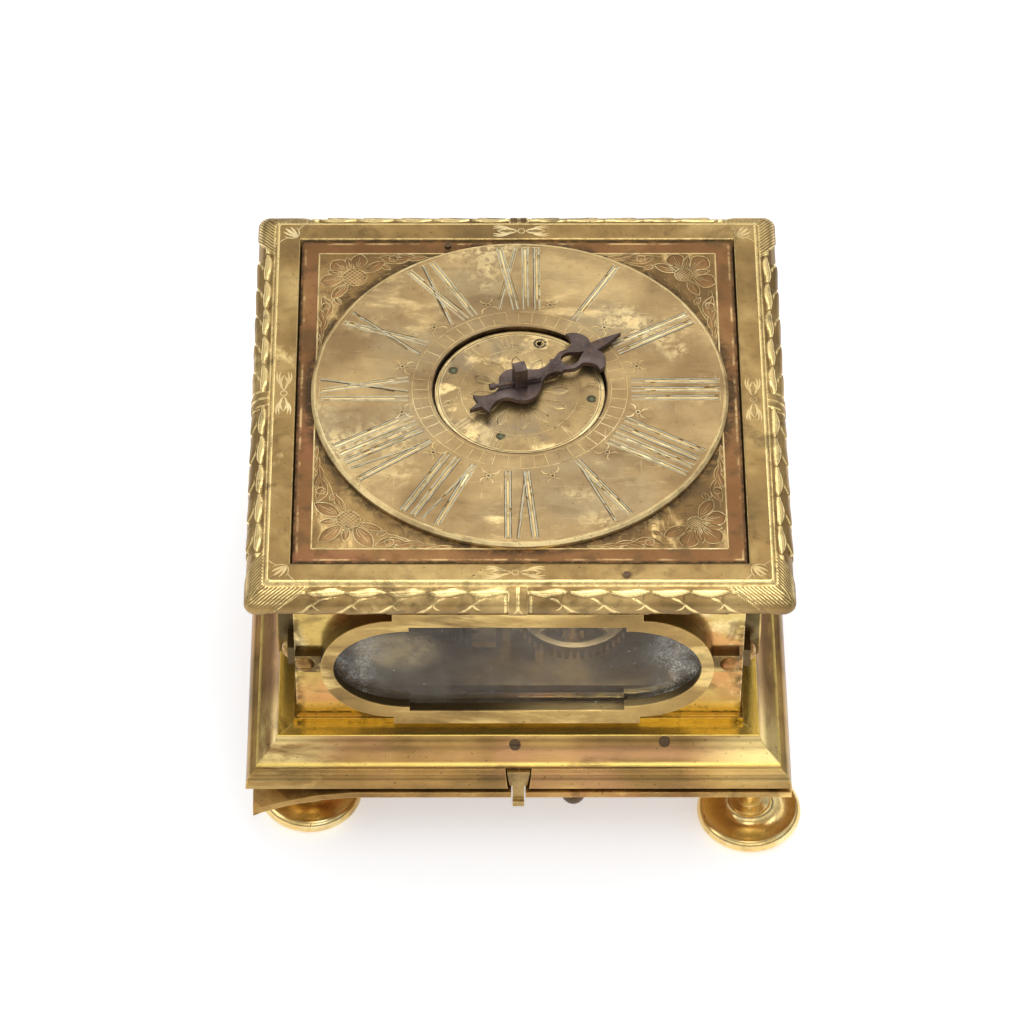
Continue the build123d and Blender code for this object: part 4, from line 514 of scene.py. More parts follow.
class Pieces:
    """Many small closed solids on a surface, gathered into one mesh; top is the surface's height."""

    def __init__(self, top=0.0):
        self.top, self.drawn = top, 0
        self.vertices, self.faces = [], []

    def rings(self, rings):
        """Joins rings of equal length, and closes both ends."""
        start, n = len(self.vertices), len(rings[0])
        for ring in rings:
            self.vertices.extend(ring)
        for k in range(len(rings) - 1):
            a, b = start + k * n, start + (k + 1) * n
            self.faces.extend((a + i, a + (i + 1) % n, b + (i + 1) % n, b + i) for i in range(n))
        self.faces.append(tuple(range(start + n - 1, start - 1, -1)))
        self.faces.append(tuple(range(start + (len(rings) - 1) * n, start + len(rings) * n)))

    def line(self, points, width, rise=0.03, sink=0.02, taper=False):
        """A strip along points in plan, from sink under the surface to rise over it."""
        points = [Vector(p) for p in points]
        last = len(points) - 1
        self.drawn += 1
        low, high = self.top - sink, self.top + rise + LAYER * (self.drawn % LAYERS)
        rings = []
        for i, p in enumerate(points):
            along = (points[min(i + 1, last)] - points[max(i - 1, 0)]).normalized()
            side = Vector((-along.y, along.x))
            end = min(i, last - i) / max(1, last / 2)
            half = width / 2 * ((0.35 + 0.65 * min(1, 2 * end)) if taper else 1)
            a, b = p + side * half, p - side * half
            rings.append([(a.x, a.y, low), (a.x, a.y, high), (b.x, b.y, high), (b.x, b.y, low)])
        self.rings(rings)

    def stroke(self, points, width, rise=0.03, sink=0.02):
        """A strip that narrows to its ends."""
        self.line(points, width, rise, sink, taper=True)

    def outline(self, points, width, rise):
        self.line([*points, points[0]], width, rise)

    def relief(self, outline, height, inset=0.3, crown=0.25):
        """A low raised field from an outline, with sloping edges and a crowned top."""
        low, n = self.top - 0.02, len(outline)
        cx, cy = sum(p[0] for p in outline) / n, sum(p[1] for p in outline) / n
        size = sum(hypot(x - cx, y - cy) for x, y in outline) / n
        edge = max(0.4, 1 - inset / size)
        levels = ((1, 0), (1, 0.3), (edge, 1), (edge * 0.55, 1 + crown), (edge * 0.12, 1 + 1.3 * crown))
        self.rings([[(cx + (x - cx) * share, cy + (y - cy) * share, low + height * up) for x, y in outline]
                    for share, up in levels])

    def build(self, name, material, body, smooth=False):
        return add_mesh(name, self.vertices, self.faces, material, body, smooth=smooth)


def polar(centre, angle, radius):
    a = radians(angle)
    return (centre[0] + radius * cos(a), centre[1] + radius * sin(a))


def arc(centre, radius, start, end, step=4.0):
    n = max(2, int(abs(end - start) / step))
    return [polar(centre, start + (end - start) * i / n, radius) for i in range(n + 1)]


def bent(start, end, bow, n=9):
    """Points of a curve between two places that bows to the left by a share of its length."""
    start, end = Vector(start), Vector(end)
    along = end - start
    side = Vector((-along.y, along.x)) * bow
    return [tuple(start + along * t + side * 4 * t * (1 - t)) for t in (i / n for i in range(n + 1))]


def leaf(root, angle, length, width, blunt=0.5, n=7):
    """Outline of a pointed leaf or petal from its root; blunt moves its widest place towards the tip."""
    a = radians(angle)
    along, side = Vector((cos(a), sin(a))), Vector((-sin(a), cos(a)))
    power = 1 / (2 * (1 - blunt)) if blunt > 0.5 else 2 * blunt
    shape = [(0, 0.12)] + [(i / n, sin(pi * (i / n) ** power) ** 0.8) for i in range(1, n)]
    left = [Vector(root) + along * length * t + side * width / 2 * w for t, w in shape]
    right = [Vector(root) + along * length * t - side * width / 2 * w for t, w in reversed(shape)]
    tip = Vector(root) + along * length
    return [tuple(p) for p in left + [tip] + right]


# Top border: swept moulding with a carved laurel garland on its half-round, in millimetres and degrees

HALF, ROLL_A, ROLL_B, ROLL_Z = 60.0, 4.0, 3.6, 80.6
ROLL_AT = HALF - ROLL_A
ROLL_STEPS, FLAT_STEPS, ALONG_STEPS = 40, 12, 480
OPENING = 49.87
CORNER_ROUND = 2.4
LEAF_TIPS = (9.6, 18.4, 27.2, 35.9, 44.4)
LEAF_LONG = 8.8
MID_ROW, MID_HALF = 26.0, 31.0  # angle up the half-round
UPPER_ROW, UPPER_HALF, UPPER_AHEAD = 71.0, 19.0, 1.6
CORNER_LEAF = 55.2
RIBBON_AT, RIBBON_HALF = -0.4, 2.05
CARVED_DEEPEST = 0.42
SIDES = {"front": 0, "right": 90, "back": 180, "left": 270}
LEAF_SHIFTS = {"front": 0.0, "right": 1.3, "back": 2.4, "left": 3.9}
RIVET, RIVET_R, RIVET_DEEP = (23.2, -53.0), 1.15, 0.12


def step(x, low, high):
    t = np.clip((x - low) / (high - low), 0, 1)
    return t * t * (3 - 2 * t)


def ridge(x, width):
    """1 at x = 0, falling off on both sides over about a width."""
    return np.exp(-((x / width) ** 2))


def behind_tip(tips, place):
    """How far each place lies behind the next leaf's tip, and that leaf's number."""
    index = np.searchsorted(tips, place)
    tip = np.where(index < len(tips), tips[np.minimum(index, len(tips) - 1)], 99.0)
    return np.clip(tip - place, 0, 40), index


def middle_row(s, phi, shift):
    """Height and gilding of the large leaves, and their half width in degrees."""
    tips = np.array(LEAF_TIPS)
    lean = 0.018 * np.clip(MID_ROW - phi, -10, 70)
    wave = 0.25 * np.sin(0.9 * s + shift) + 0.15 * np.sin(2.3 * s + 2 * shift)
    place = s - lean - wave * 0.4
    back, index = behind_tip(tips, place)
    half = MID_HALF * (1 - np.exp(-back / 1.5)) * (1 - 0.25 * step(back, 3.5, LEAF_LONG))
    off = (phi - MID_ROW) / np.maximum(half, 0.5)
    edge = (np.abs(phi - MID_ROW) - half) * 0.063
    height = np.where(np.abs(off) < 1, 0.34 * (1 - off**2) * (1 - 0.035 * back), 0.0)
    height += 0.2 * ridge(back, 4.0)
    gold = ridge(edge, 0.3) * (1 - 0.75 * step(back, 2.5, 6.5))
    gold = np.where(phi < MID_ROW, gold * ridge(back, 2.4), gold)
    behind = np.where(index > 0, place - tips[np.maximum(index - 1, 0)], 9.0)
    below = np.clip(MID_ROW - phi, 0, 80)
    above = np.clip(phi - MID_ROW, 0, 60)
    sweep = behind - 0.25 - 0.045 * below
    low_side = phi < MID_ROW + 4
    band = ridge(sweep, 0.45 + 0.009 * below) * low_side
    barb = step(above, 1, 5) * step(34 - above - 5 * behind, 0, 8) * step(3.4 - behind, 0, 2.4)
    barb *= 0.62 + 0.38 * np.sin(0.75 * above + 1.3 * behind)
    gold = np.maximum(np.maximum(gold, band), 0.35 * barb)
    height -= 0.13 * ridge(sweep + 0.45, 0.22) * low_side
    return height, gold, half


def upper_row(s, phi, shift, height, gold, half):
    """The small gilded leaves beside the hollow, over the large ones."""
    back, _ = behind_tip(np.array(LEAF_TIPS) + UPPER_AHEAD, s)
    reach = UPPER_HALF * (1 - np.exp(-back / 1.6)) * (1 - 0.55 * step(back, 5.0, LEAF_LONG))
    off = np.abs(phi - UPPER_ROW - 3 * np.sin(s * 0.7 + shift)) / np.maximum(reach, 0.5)
    upper = (off < 1) & (phi > MID_ROW + half * 0.85)
    height = np.where(upper, 0.1 + 0.3 * (1 - off**2), height)
    gold = np.where(upper, 0.5 + 0.4 * (1 - off), gold)
    rim = ridge(off - 1, 0.16) * (phi > 45)
    return height - 0.16 * rim, gold - 0.5 * rim


def corner_leaf(s, phi, height, gold):
    """The leaf that wraps each corner, with fine slanting lines."""
    start = CORNER_LEAF - 0.078 * (phi + 30)
    corner = step(s, start - 0.15, start + 0.15)
    lines = 0.5 + 0.5 * np.sin((s - start) * 2 * np.pi / 0.95)
    hatch = step(phi, 2, 40)
    c_height = 0.22 + 0.1 * np.sin(np.pi * np.clip((phi + 30) / 120, 0, 1)) - 0.07 * lines * hatch
    c_gold = 0.12 + 0.85 * hatch * lines**2
    height = height * (1 - corner) + c_height * corner - 0.16 * ridge(s - start, 0.16)
    gold = gold * (1 - corner) + c_gold * corner
    return height, np.maximum(gold, 0.9 * ridge(s - start + 0.35, 0.16))


def ribbon(s, phi, height, gold):
    """The crossed ribbon round the middle of each side."""
    off = np.abs(s)
    cover = 1 - step(off, RIBBON_HALF, RIBBON_HALF + 0.15)
    height = height * (1 - cover) + 0.38 * cover - 0.2 * ridge(off - 2.2, 0.18)
    gold = gold * (1 - cover) + 0.2 * cover
    gold = np.maximum(gold, 0.95 * ridge(off - 2.0, 0.13))
    gold = np.maximum(gold, ridge(off - 2.75, 0.3) * (phi < 60))
    fork = np.where(phi > 5, 0.22, 0.22 + 0.035 * (5 - phi))
    crossing = ridge(off - fork, 0.15)
    return height - 0.08 * crossing, np.maximum(gold, crossing)


def garland(s, phi, shift):
    """Height in millimetres and gilding, 0 to 1, of the carving at a place along and around the half-round.

    s is the distance from the ribbon, phi the angle up from the outermost line."""
    height, gold = upper_row(s, phi, shift, *middle_row(s, phi, shift))
    height, gold = corner_leaf(s, phi, height, gold)
    height, gold = ribbon(s, phi, height, gold)
    return height, np.clip(gold, 0, 1)


def border_profile():
    """(distance from the middle, height, angle round the half-round or None) round the border's section."""
    points = [(48.2, 77.0, None), (54.0, 77.0, None)]
    for i in range(ROLL_STEPS + 1):
        phi = -90 + 180 * i / ROLL_STEPS
        a, z = ROLL_AT + ROLL_A * cos(radians(phi)), ROLL_Z + ROLL_B * sin(radians(phi))
        points.append((a, z, phi))
    fillet = ((55.75, 84.1), (55.5, 84.15), (55.3, 84.35), (55.2, 84.7), (55.12, 84.92), (55.0, 85.0), (54.8, 85.0))
    flat = [(54.8 - 4.85 * i / FLAT_STEPS, FLAT_TOP) for i in range(1, FLAT_STEPS + 1)]
    rebate = ((OPENING, 84.9), (OPENING, 82.7), (47.5, 82.7), (47.5, 81.1), (48.2, 81.1))
    return points + [(a, z, None) for a, z in (*fillet, *flat, *rebate)]


def plain_gold(a, z):
    """Gilding of the border's plain parts: the arris, the opening's edge and the fillet over the half-round."""
    if z >= 84.9 and (a > 54.7 or a < OPENING + 0.3):
        return 0.95 if a > 54.7 else 0.6
    return 0.55 if 55.1 < a < 55.8 and z > 84 else 0.0


def rounded_corner(s, a, out):
    """Places along and out from a side, with its corners rounded in plan the more, the further out."""
    rounding = CORNER_ROUND * min(1.0, max(0.0, (a - 52.0) / 8.0))
    x = s
    if rounding > 0:
        start = np.abs(s) - (a - rounding)
        theta = np.clip(start, 0, None) / rounding * pi / 4
        x = np.where(start > 0, np.sign(s) * (a - rounding + rounding * np.sin(theta)), s)
        out = np.where(start > 0, out - rounding * (1 - np.cos(theta)), out)
        push = out - (a - rounding + rounding * np.cos(theta))
        x = np.where(start > 0, x + np.sign(s) * push * np.sin(theta), x)
    return np.where(np.abs(x) > out, np.sign(x) * out, x), out


def border_side(side, material):
    """One side of the border: the profile swept between two mitres."""
    profile = border_profile()
    n_along, m = ALONG_STEPS + 1, len(profile)
    turn = radians(SIDES[side])
    cos_t, sin_t = cos(turn), sin(turn)
    u = np.linspace(-1, 1, n_along)
    columns, golds = [], []
    for a, z, phi in profile:
        s = u * a
        out, up = np.full(n_along, a), np.full(n_along, z)
        if phi is None:
            gold = np.full(n_along, plain_gold(a, z))
        else:
            height, gold = garland(np.abs(s - RIBBON_AT), np.full(n_along, phi), LEAF_SHIFTS[side] + np.sign(s))
            height = (height - CARVED_DEEPEST) * step(phi + 88.0, 0, 25) * step(90.0 - phi, 0, 8)
            out = out + height * cos(radians(phi))
            up = up + height * sin(radians(phi))
        if z == FLAT_TOP and side == "front":
            up = np.where(np.hypot(s - RIVET[0], a + RIVET[1]) < RIVET_R, z - RIVET_DEEP, up)
        x, out = rounded_corner(s, a, out)
        columns.append(np.stack([x * cos_t + out * sin_t, x * sin_t - out * cos_t, up], axis=1))
        golds.append(gold)
    vertices = np.stack(columns, axis=1).reshape(-1, 3)
    gold = np.stack(golds, axis=1).reshape(-1)
    faces = []
    for i in range(n_along - 1):
        for j in range(m):
            a, b = i * m + j, i * m + (j + 1) % m
            faces.append((a, b, b + m, a + m))
    faces.append(tuple(range(m - 1, -1, -1)))
    faces.append(tuple(range((n_along - 1) * m, n_along * m)))
    obj = add_mesh("laurel_" + side, vertices.tolist(), faces, material, "case", wear=gold, smooth=True)
    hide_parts("border_" + side)


FLAT_MIDDLE, FLAT_CORNER, OUTWARDS = (-1.0, -52.5), (-50.5, -50.5), 225
BUD = ((0, 4.0, 0.75, 0.0), (17, 3.7, 0.55, 0.06), (-17, 3.7, 0.55, -0.06), (38, 3.2, 0.3, 0.16),
       (-38, 3.2, 0.3, -0.16))


def border_engraving(material):
    """Tulips in the middle of each side and a bud with tendrils at each corner of the flat."""
    lines = Pieces(FLAT_TOP)
    for turn in SIDES.values():
        def draw(points, width, kind=lines.stroke):
            kind(placed(points, turn, (0, 0)), width, 0.035, 0.03)

        x, y = FLAT_MIDDLE
        draw(arc((x, y), 0.75, 0, 360, 30), 0.22, lines.line)
        for way in (-1, 1):
            root = x + way * 0.9
            for bow in (0.16, -0.16):
                draw(bent((root, y), (root + way * 4.6, y), bow), 0.46)
            for spread in (-1.5, -0.8, 0.8, 1.5):
                bow = 0.12 * way * (1 if spread > 0 else -1)
                draw(bent((root + way * 1.4, y + spread * 0.35), (root + way * 5.6, y + spread), bow), 0.44)
            for k in range(4):
                start = root + way * (1.2 + 0.7 * k)
                draw([(start, y), (start + way * 1.6, y + 0.45 * (-1) ** k)], 0.14)
        for spread, reach, width, bow in BUD:
            draw(bent(FLAT_CORNER, polar(FLAT_CORNER, OUTWARDS + spread, reach), bow), width)
        for way in (-1, 1):
            start = polar(FLAT_CORNER, OUTWARDS + way * 50, 1.4)
            end = polar(start, OUTWARDS + way * 78, 3.4)
            draw(bent(start, end, -0.14 * way), 0.2)
            draw(bent(end, polar(end, OUTWARDS + way * 40, 1.5), 0.2 * way), 0.16)
            curl = polar(end, OUTWARDS + way * 95, 0.9)
            draw(arc(curl, 0.55, 45 + way * 95, 45 + way * 330, 30), 0.14)
    lines.build("border_engraving", material, "case")


PEG_AT, PEG_TOP = (12.4, -58.5), 18.6
PEG_SHAPE = ((2.75, 0.0), (2.75, 1.6), (2.6, 2.5), (2.15, 3.3), (1.4, 3.9), (0.6, 4.15))  # radius, drop


def plate_peg(material):
    """The dark round-headed peg under the front edge of the base plate."""
    peg = Pieces()
    peg.rings([[(*polar(PEG_AT, a, r), PEG_TOP - drop) for a in range(0, 360, 15)] for r, drop in PEG_SHAPE])
    obj = peg.build("plate_peg", material, "base", smooth=True)
    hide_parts("plate_screw")


# Dial

NUMERALS = "XII I II III IIII V VI VII VIII IX X XI".split()
# Radii from inner to outer end, breadth of an I and of a V or X, and widths of thick and thin strokes
HOUR_LETTERS = (24.9, 44.6, 2.6, 5.6, 1.3, 0.55)
ALARM_LETTERS = (14.0, 17.6, 0.95, 1.7, 0.42, 0.2)
ALARM_TURN = 11
TRACK = (20.5, 24.1)
TRACK_MARKS = 48
HALF_HOUR = (0.0, 27.2)
ROSETTE = 12
ALARM_PEG = (73, 15.9)
ALARM_RIVETS = ((-14.9, 6.8), (16.0, -2.0), (-4.3, -13.4))


def numeral_strokes(letters, inner, outer, narrow, wide, thick, thin):
    """Strokes of a Roman numeral, tops outwards, as (start, end, width)."""
    widths = {"I": narrow, "V": wide, "X": wide}
    left = -sum(widths[c] for c in letters) / 2
    strokes = []
    for c in letters:
        middle, reach = left + widths[c] / 2, widths[c] / 2 - thick / 2 - 0.3 * narrow / 2.6
        foot = {"I": 0, "V": 0, "X": reach}[c]
        top = 0 if c == "I" else reach
        strokes.append(((middle + foot, inner), (middle - top, outer), thick))
        if c != "I":
            strokes.append(((middle - foot, inner), (middle + top, outer), thin))
        left += widths[c]
    return strokes


def placed(points, angle, centre=DIAL):
    """Points turned about the origin, then set round a centre."""
    a = radians(angle)
    c, s = cos(a), sin(a)
    return [(centre[0] + x * c - y * s, centre[1] + x * s + y * c) for x, y in points]


def shifted(start, end, off):
    """A stroke's two ends moved sideways."""
    d = Vector((end[0] - start[0], end[1] - start[1])).normalized()
    return [(start[0] - d.y * off, start[1] + d.x * off), (end[0] - d.y * off, end[1] + d.x * off)]


def silvered(silver, a, b, angle, rng):
    """A numeral's silvered line, uneven and broken by wear."""
    n = 18
    points = [(a[0] + (b[0] - a[0]) * t / n + rng.uniform(-0.05, 0.05), a[1] + (b[1] - a[1]) * t / n)
              for t in range(n + 1)]
    for t in range(n):
        if rng.random() < 0.93:
            silver.line(placed(points[t:t + 2], angle), rng.uniform(0.2, 0.36), 0.025, 0.26)


def hour_numeral(hour, silver, gilt, dark, rng):
    """A numeral: silvered lines over gilt, with dark or gilt edges and serifs."""
    angle = -30 * hour

    def at(*points):
        return placed(points, angle)

    for start, end, width in numeral_strokes(NUMERALS[hour], *HOUR_LETTERS):
        for off in ((-0.5, 0.5) if width > 1 else (0.0,)):
            silvered(silver, *shifted(start, end, off), angle, rng)
        if width > 1:
            gilt.line(at(start, end), 0.52, -0.03, 0.26)
        for off in (-width / 2 - 0.12, width / 2 + 0.12):
            (dark if rng.random() < 0.45 else gilt).line(at(*shifted(start, end, off)), 0.12, 0.015)
        half, (x, y) = width / 2 + 0.55, end
        gilt.stroke(at((x - half, y + 0.22), (x, y + 0.1), (x + half, y + 0.22)), 0.22)
        if rng.random() < 0.6:
            dark.stroke(at((x - 0.4, y + 0.1), (x + 0.4, y + 0.1)), 0.24, 0.035, 0.03)
            x, y = start
            dark.stroke(at((x - 0.3, y), (x + 0.3, y)), 0.24, 0.035, 0.03)


def half_hour_star(angle, gilt, dark):
    gilt.line(placed(arc(HALF_HOUR, 0.5, 0, 350, 30), angle), 0.2)
    for k in range(3):
        points = [polar(HALF_HOUR, 210 + 60 * k, 1.35), HALF_HOUR, polar(HALF_HOUR, 30 + 60 * k, 1.35)]
        dark.stroke(placed(points, angle), 0.16, 0.015, 0.03)
    for way in (-1, 1):
        gilt.stroke(placed(bent((way * 0.5, 26.5), (way * 1.9, 24.7), 0.25 * way), angle), 0.3)
        gilt.stroke(placed(bent((way * 0.4, 27.9), (way * 1.4, 29.2), -0.2 * way), angle), 0.24)


def ring_details(m, rng):
    """Numerals, half-hour stars, the hour track and the rim's line."""
    silver, gilt, dark = (Pieces(RING_TOP) for _ in range(3))
    for hour in range(12):
        hour_numeral(hour, silver, gilt, dark, rng)
        half_hour_star(-30 * hour - 15, gilt, dark)
    for radius, width in ((TRACK[0], 0.18), (TRACK[1], 0.2), (45.75, 0.26)):
        gilt.line(arc(DIAL, radius, 0, 359.9, 2), width)
    for k in range(TRACK_MARKS):
        angle = 360 / TRACK_MARKS * k + rng.uniform(-0.5, 0.5)
        gilt.line([polar(DIAL, angle, radius) for radius in TRACK], 0.2, 0.028)
    for pieces, name, kind in ((silver, "numeral_silver", "silver"), (gilt, "ring_engraving", "line"),
                               (dark, "ring_marks", "dirt")):
        pieces.build(name, m[kind], "case")


def rosette_petal(angle, gilt, petals, rng):
    """A petal with its veins, and the short rays beside it."""
    outline = leaf(polar(DIAL, angle, 5.2), angle, 6.2, 2.5, blunt=0.62)
    petals.relief(outline, 0.1, 0.35)
    gilt.outline(outline, 0.15, 0.06)
    gilt.stroke([polar(DIAL, angle, 6.0), polar(DIAL, angle, 9.6)], 0.16, 0.17, 0)
    for spread in (-7, 7):
        vein = bent(polar(DIAL, angle + spread * 0.5, 6.0), polar(DIAL, angle + spread, 9.2), 0.03)
        gilt.stroke(vein, 0.1, 0.15, 0)
    between = angle + 180 / ROSETTE
    for spread in (-6, -3, 0, 3, 6):
        inner = polar(DIAL, between + spread, 8.8 + rng.uniform(-0.3, 0.3))
        gilt.stroke([inner, polar(DIAL, between + spread * 1.4, 12.2 + rng.uniform(-0.8, 0.6))], 0.13)


def disc_details(m, rng):
    """Alarm disc: worn rim band, small numerals, three rivets and a petalled rosette round the arbor."""
    gilt, petals, rivets, dirt = (Pieces(DISC_TOP) for _ in range(4))
    for k in range(150):
        a, r = rng.uniform(0, 360), rng.uniform(13.5, 18.2)
        end = polar(DIAL, a + rng.uniform(-2.5, 2.5), r + rng.uniform(-0.5, 0.5))
        dirt.stroke([polar(DIAL, a, r), end], 0.12, 0.008)
    dirt.line(arc(DIAL, 18.15, 0, 359.9, 3), 0.14, 0.01)
    dirt.line(arc(polar(DIAL, *ALARM_PEG), 1.25, 0, 350, 25), 0.55, 0.006)
    for hour in range(12):
        for start, end, width in numeral_strokes(NUMERALS[hour], *ALARM_LETTERS):
            for off in ((-0.16, 0.16) if width > 0.3 else (0.0,)):
                gilt.line(placed(shifted(start, end, off), ALARM_TURN - 30 * hour), 0.13)
    gilt.line(arc(DIAL, 18.55, 0, 359.9, 3), 0.5, 0.05)
    gilt.line(arc(DIAL, 13.2, 0, 359.9, 4), 0.16)
    for k in range(ROSETTE):
        rosette_petal(360 / ROSETTE * k + 4, gilt, petals, rng)
    for x, y in ALARM_RIVETS:
        at = (DIAL[0] + x, DIAL[1] + y)
        rivets.relief(arc(at, 0.78, 0, 330, 30), 0.22, 0.25, crown=0.3)
        dirt.line(arc(at, 0.95, 0, 350, 25), 0.3)
    for pieces, name, kind in ((gilt, "disc_engraving", "line"), (petals, "disc_petals", "disc"),
                               (dirt, "disc_dirt", "dirt"), (rivets, "disc_rivets", "verdigris")):
        pieces.build(name, m[kind], "alarm")


# Corners of the dial plate: outer edge of the ornament and of its ground, and the ground's radius round the ring
ORNAMENT_HALF, GROUND_HALF, GROUND_R = 45.4, 45.3, 46.9
QUARTERS = ((-1, -1), (-1, 1), (1, -1), (1, 1))
# By corner: place along the diagonal, centre's radius, and petals as (turn to both sides, length, width, blunt)
FLOWERS = {
    (-1, -1): (37.4, 2.6, ((0, 7.0, 3.2, 0.5), (78, 7.6, 3.6, 0.5), (38, 4.2, 1.8, 0.5), (112, 6.0, 1.8, 0.5))),
    (1, -1): (38.4, 1.8, ((0, 6.4, 4.4, 0.68), (62, 6.6, 4.4, 0.68), (105, 6.4, 3.0, 0.6), (31, 4.6, 2.0, 0.5))),
    (-1, 1): (37.2, 2.8, ((0, 5.0, 4.2, 0.66), (55, 6.4, 4.0, 0.62), (98, 6.2, 2.6, 0.55), (28, 4.2, 1.8, 0.5))),
    (1, 1): (38.0, 2.1, ((0, 6.0, 4.8, 0.7), (66, 6.6, 4.6, 0.68), (108, 5.6, 2.4, 0.55), (33, 4.4, 1.6, 0.5))),
}
# Leaves of one arm of a corner as (root, angle, length, width, blunt), and its stems as (start, end, bow)
ARM_LEAVES = (
    ((44.4, 31.5), -112, 5.2, 2.4, 0.55), ((42.6, 29.6), -78, 5.0, 2.0, 0.5), ((44.9, 27.4), -104, 5.0, 1.8, 0.5),
    ((43.4, 25.2), -80, 4.6, 1.5, 0.5), ((44.9, 22.6), -98, 4.4, 1.2, 0.5), ((44.9, 18.6), -92, 4.0, 0.8, 0.5),
    ((41.6, 31.2), -122, 2.6, 1.3, 0.5),
)
ARM_STEMS = (((44.2, 33.5), (44.6, 15.5), 0.03), ((40.6, 32.6), (43.9, 22.5), -0.08))


def plate_ground(m):
    """Gilded ground in the four corners between the dial plate's plain border and the ring."""
    ground = Pieces()
    for sx, sy in QUARTERS:
        x, y = GROUND_HALF * sx, GROUND_HALF * sy
        y0 = DIAL[1] + sy * sqrt(GROUND_R**2 - (x - DIAL[0]) ** 2)
        x0 = DIAL[0] + sx * sqrt(GROUND_R**2 - (y - DIAL[1]) ** 2)
        start = degrees(atan2(y0 - DIAL[1], x - DIAL[0]))
        end = degrees(atan2(y - DIAL[1], x0 - DIAL[0]))
        outline = [(x, y)] + arc(DIAL, GROUND_R, start, end, 3)
        ground.rings([[(*p, z) for p in outline] for z in (DIAL_TOP - 0.05, DIAL_TOP + 0.02)])
    ground.build("corner_ground", m["ground"], "case")


def clear_of_ring(x, y, margin):
    return hypot(x - DIAL[0], y - DIAL[1]) > RING_R + margin


def fits(outline, margin):
    """Whether an outline keeps clear of the ring and of the plain border."""
    return all(clear_of_ring(x, y, margin) and max(abs(x), abs(y)) < GROUND_HALF for x, y in outline)


def fitted_petal(root, angle, length, width, blunt):
    """A petal's outline and length, cut down until it fits its corner."""
    while True:
        outline = leaf(root, angle, length, width, blunt, n=10)
        if length < 1.5 or fits(outline, 0.15):
            return outline, length
        length, width = length * 0.95, width * 0.98


def flower(centre, heading, core_r, shapes, petals, lines, core):
    """A flower head facing a corner: raised petals with outlines and veins round a cross-hatched centre."""
    for turn, length, width, blunt in shapes:
        for way in ((-1, 1) if turn else (1,)):
            angle = heading + way * turn
            root = polar(centre, angle, core_r * 0.85)
            outline, long = fitted_petal(root, angle, length, width, blunt)
            petals.relief(outline, 0.18, 0.4)
            lines.outline(outline, 0.2, 0.08)
            for spread in (-0.3, 0, 0.3):
                start = polar(root, angle, long * 0.12)
                end = polar(root, angle + spread * 32, long * (0.8 - abs(spread)))
                lines.stroke(bent(start, end, spread * 0.3), 0.12, 0.25, 0)
    core.relief(arc(centre, core_r, 0, 330, 30), 0.3, 0.5)
    lines.line(arc(centre, core_r, 0, 360, 24), 0.2, 0.16)
    for k in range(-3, 4):
        off = core_r * k / 3.6
        half = sqrt(max(core_r**2 - off**2, 0)) * 0.85
        for a in (45, 135):
            lines.line(placed([(off, -half), (off, half)], a, centre), 0.12, 0.38, -0.1)


def corner_arm(sx, sy, arm, petals, lines, core):
    """The leaves, stems and small round flower along one edge of a corner."""
    def place(x, y):
        return (sx * x, sy * y) if arm == 0 else (sx * y, sy * x)

    def turned(angle):
        angle = angle if arm == 0 else 90 - angle
        angle = angle if sx > 0 else 180 - angle
        return angle if sy > 0 else -angle

    for at, turn, length, width, blunt in ARM_LEAVES:
        root, angle = place(*at), turned(turn)
        outline = leaf(root, angle, length, width, blunt)
        if fits(outline, 0.3):
            petals.relief(outline, 0.18, 0.35)
            lines.outline(outline, 0.18, 0.08)
            lines.stroke(bent(root, polar(root, angle, length * 0.85), 0.04), 0.12, 0.24, 0)
    for start, end, bow in ARM_STEMS:
        lines.stroke(bent(place(*start), place(*end), bow if arm == 0 else -bow, 14), 0.18, 0.06)
    spot = place(43.6, 28.4)
    if clear_of_ring(*spot, 1.6):
        lines.line(arc(spot, 1.0, 0, 360, 30), 0.2, 0.24)
        core.relief(arc(spot, 0.95, 0, 330, 30), 0.2)


def plate_details(m, rng):
    """Raised flowers and leaves in the four corners, gilt outlines, and the line round the plain border."""
    petals, lines, core, hatch = (Pieces(DIAL_TOP) for _ in range(4))
    for (sx, sy), (along, core_r, shapes) in FLOWERS.items():
        centre = (sx * along, sy * along + 0.5)
        flower(centre, degrees(atan2(sy, sx)), core_r, shapes, petals, lines, core)
        for arm in (0, 1):
            corner_arm(sx, sy, arm, petals, lines, core)
        for k in range(420):
            x, y = sx * rng.uniform(16, 45), sy * rng.uniform(16, 45)
            if clear_of_ring(x, y, 0.9) and max(abs(x), abs(y)) < 44.4:
                slant = degrees(atan2(y - DIAL[1], x - DIAL[0])) + rng.uniform(50, 80)
                end = polar((x, y), slant, rng.uniform(0.8, 1.6))
                (hatch if k % 3 else lines).stroke([(x, y), end], 0.12, 0.045, 0.01)
    edge = [(ORNAMENT_HALF * sx, ORNAMENT_HALF * sy) for sx, sy in ((-1, -1), (1, -1), (1, 1), (-1, 1))]
    for a, b in zip(edge, edge[1:] + edge[:1]):
        lines.line([a, b], 0.34, 0.06)
    for pieces, name, kind in ((petals, "corner_petals", "petal"), (core, "corner_centres", "core"),
                               (lines, "corner_lines", "line"), (hatch, "corner_hatching", "dirt")):
        pieces.build(name, m[kind], "case")


# Floor, backdrop and light

FLOOR_HALF, FLOOR_COLOUR, FLOOR_LIFT = 6.0, (0.9, 0.92, 0.95), 0.43
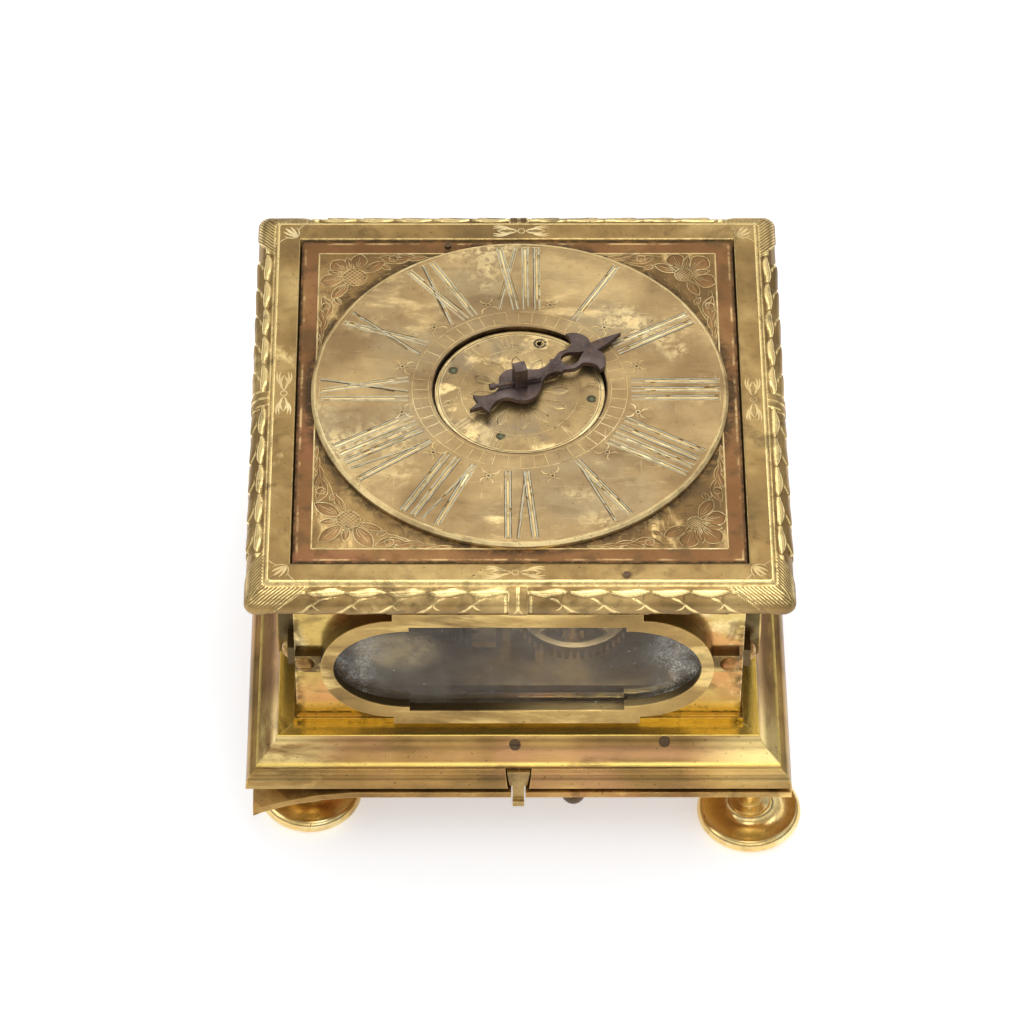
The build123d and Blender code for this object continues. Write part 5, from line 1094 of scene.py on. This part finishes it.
# World: brightness in reflections by height of direction, of the light all round, and behind the object
TENT = ((0.0, 0.8), (0.06, 0.8), (0.12, 0.1), (0.3, 0.14), (0.42, 0.85), (0.62, 0.72), (0.74, 0.34), (1.0, 0.55))
AROUND, BEHIND = 0.62, 1.05


def make_stage():
    """A white floor that still takes the object's shadow, and a white world."""
    mesh = bpy.data.meshes.new("floor")
    corners = [(FLOOR_HALF * sx, FLOOR_HALF * sy, 0) for sx, sy in ((-1, -1), (1, -1), (1, 1), (-1, 1))]
    mesh.from_pydata(corners, [], [(0, 1, 2, 3)])
    floor = bpy.data.objects.new("floor", mesh)
    bpy.context.collection.objects.link(floor)
    n = Nodes("floor_white")
    socket = n.bsdf.inputs
    socket["Specular IOR Level"].default_value = 0.1
    socket["Emission Color"].default_value = (1, 1, 1, 1)
    seen = n.add("LightPath").outputs
    n.link(n.times(n.larger(seen["Is Camera Ray"], seen["Is Glossy Ray"]), FLOOR_LIFT), socket["Emission Strength"])
    mesh.materials.append(n.finish(FLOOR_COLOUR, 0.9, 0.0))
    make_world()


def make_world():
    """White light all round, and in reflections dark cards between bright ones."""
    world = bpy.data.worlds.new("world")
    bpy.context.scene.world = world
    n = Nodes("world", world)
    height = n.part(n.add("TexCoord").outputs["Generated"], "Z")
    tent = n.ramp(height, [(place, (value,) * 3) for place, value in TENT])
    seen = n.add("LightPath").outputs
    light = n.mix(seen["Is Glossy Ray"], (AROUND,) * 3, tent)
    n.link(n.mix(seen["Is Camera Ray"], light, (BEHIND,) * 3), n.tree.nodes["Background"].inputs["Color"])


def area_light(name, place, target, size, power):
    data = bpy.data.lights.new(name, "AREA")
    data.shape = "RECTANGLE"
    data.size, data.size_y = size
    data.energy = power
    light = bpy.data.objects.new(name, data)
    light.location = place
    light.rotation_euler = (Vector(target) - Vector(place)).to_track_quat("-Z", "Y").to_euler()
    bpy.context.collection.objects.link(light)


# Name, place, target, size in metres and power in watts
LIGHTS = (
    ("key", (0.12, 0.25, 0.95), (0, 0, 0.05), (0.6, 0.6), 2.3),
    ("front", (0.1, -0.75, 0.42), (0, 0, 0.05), (0.7, 0.3), 0.4),
    ("left", (-0.8, -0.2, 0.55), (0, 0, 0.04), (0.5, 0.4), 0.7),
    ("near", (0.05, -0.26, 0.5), (0, -0.05, 0.08), (0.2, 0.2), 0.25),
    ("back", (0.02, 0.5, 0.75), (0, -0.02, 0.085), (0.35, 0.3), 0.35),
    ("inside", (0.0125, -0.04, 0.0612), (0.0125, -0.042, 0.04), (0.024, 0.006), 0.008),
)


materials = build_materials()
dress_nodes(materials)
rng = random.Random(7)
for side in SIDES:
    border_side(side, materials["border"])
border_engraving(materials["line"])
plate_peg(materials["screw"])
ring_details(materials, rng)
disc_details(materials, rng)
plate_ground(materials)
plate_details(materials, rng)
make_camera()
make_stage()
for light in LIGHTS:
    area_light(*light)
bpy.context.scene.view_settings.view_transform = "Standard"
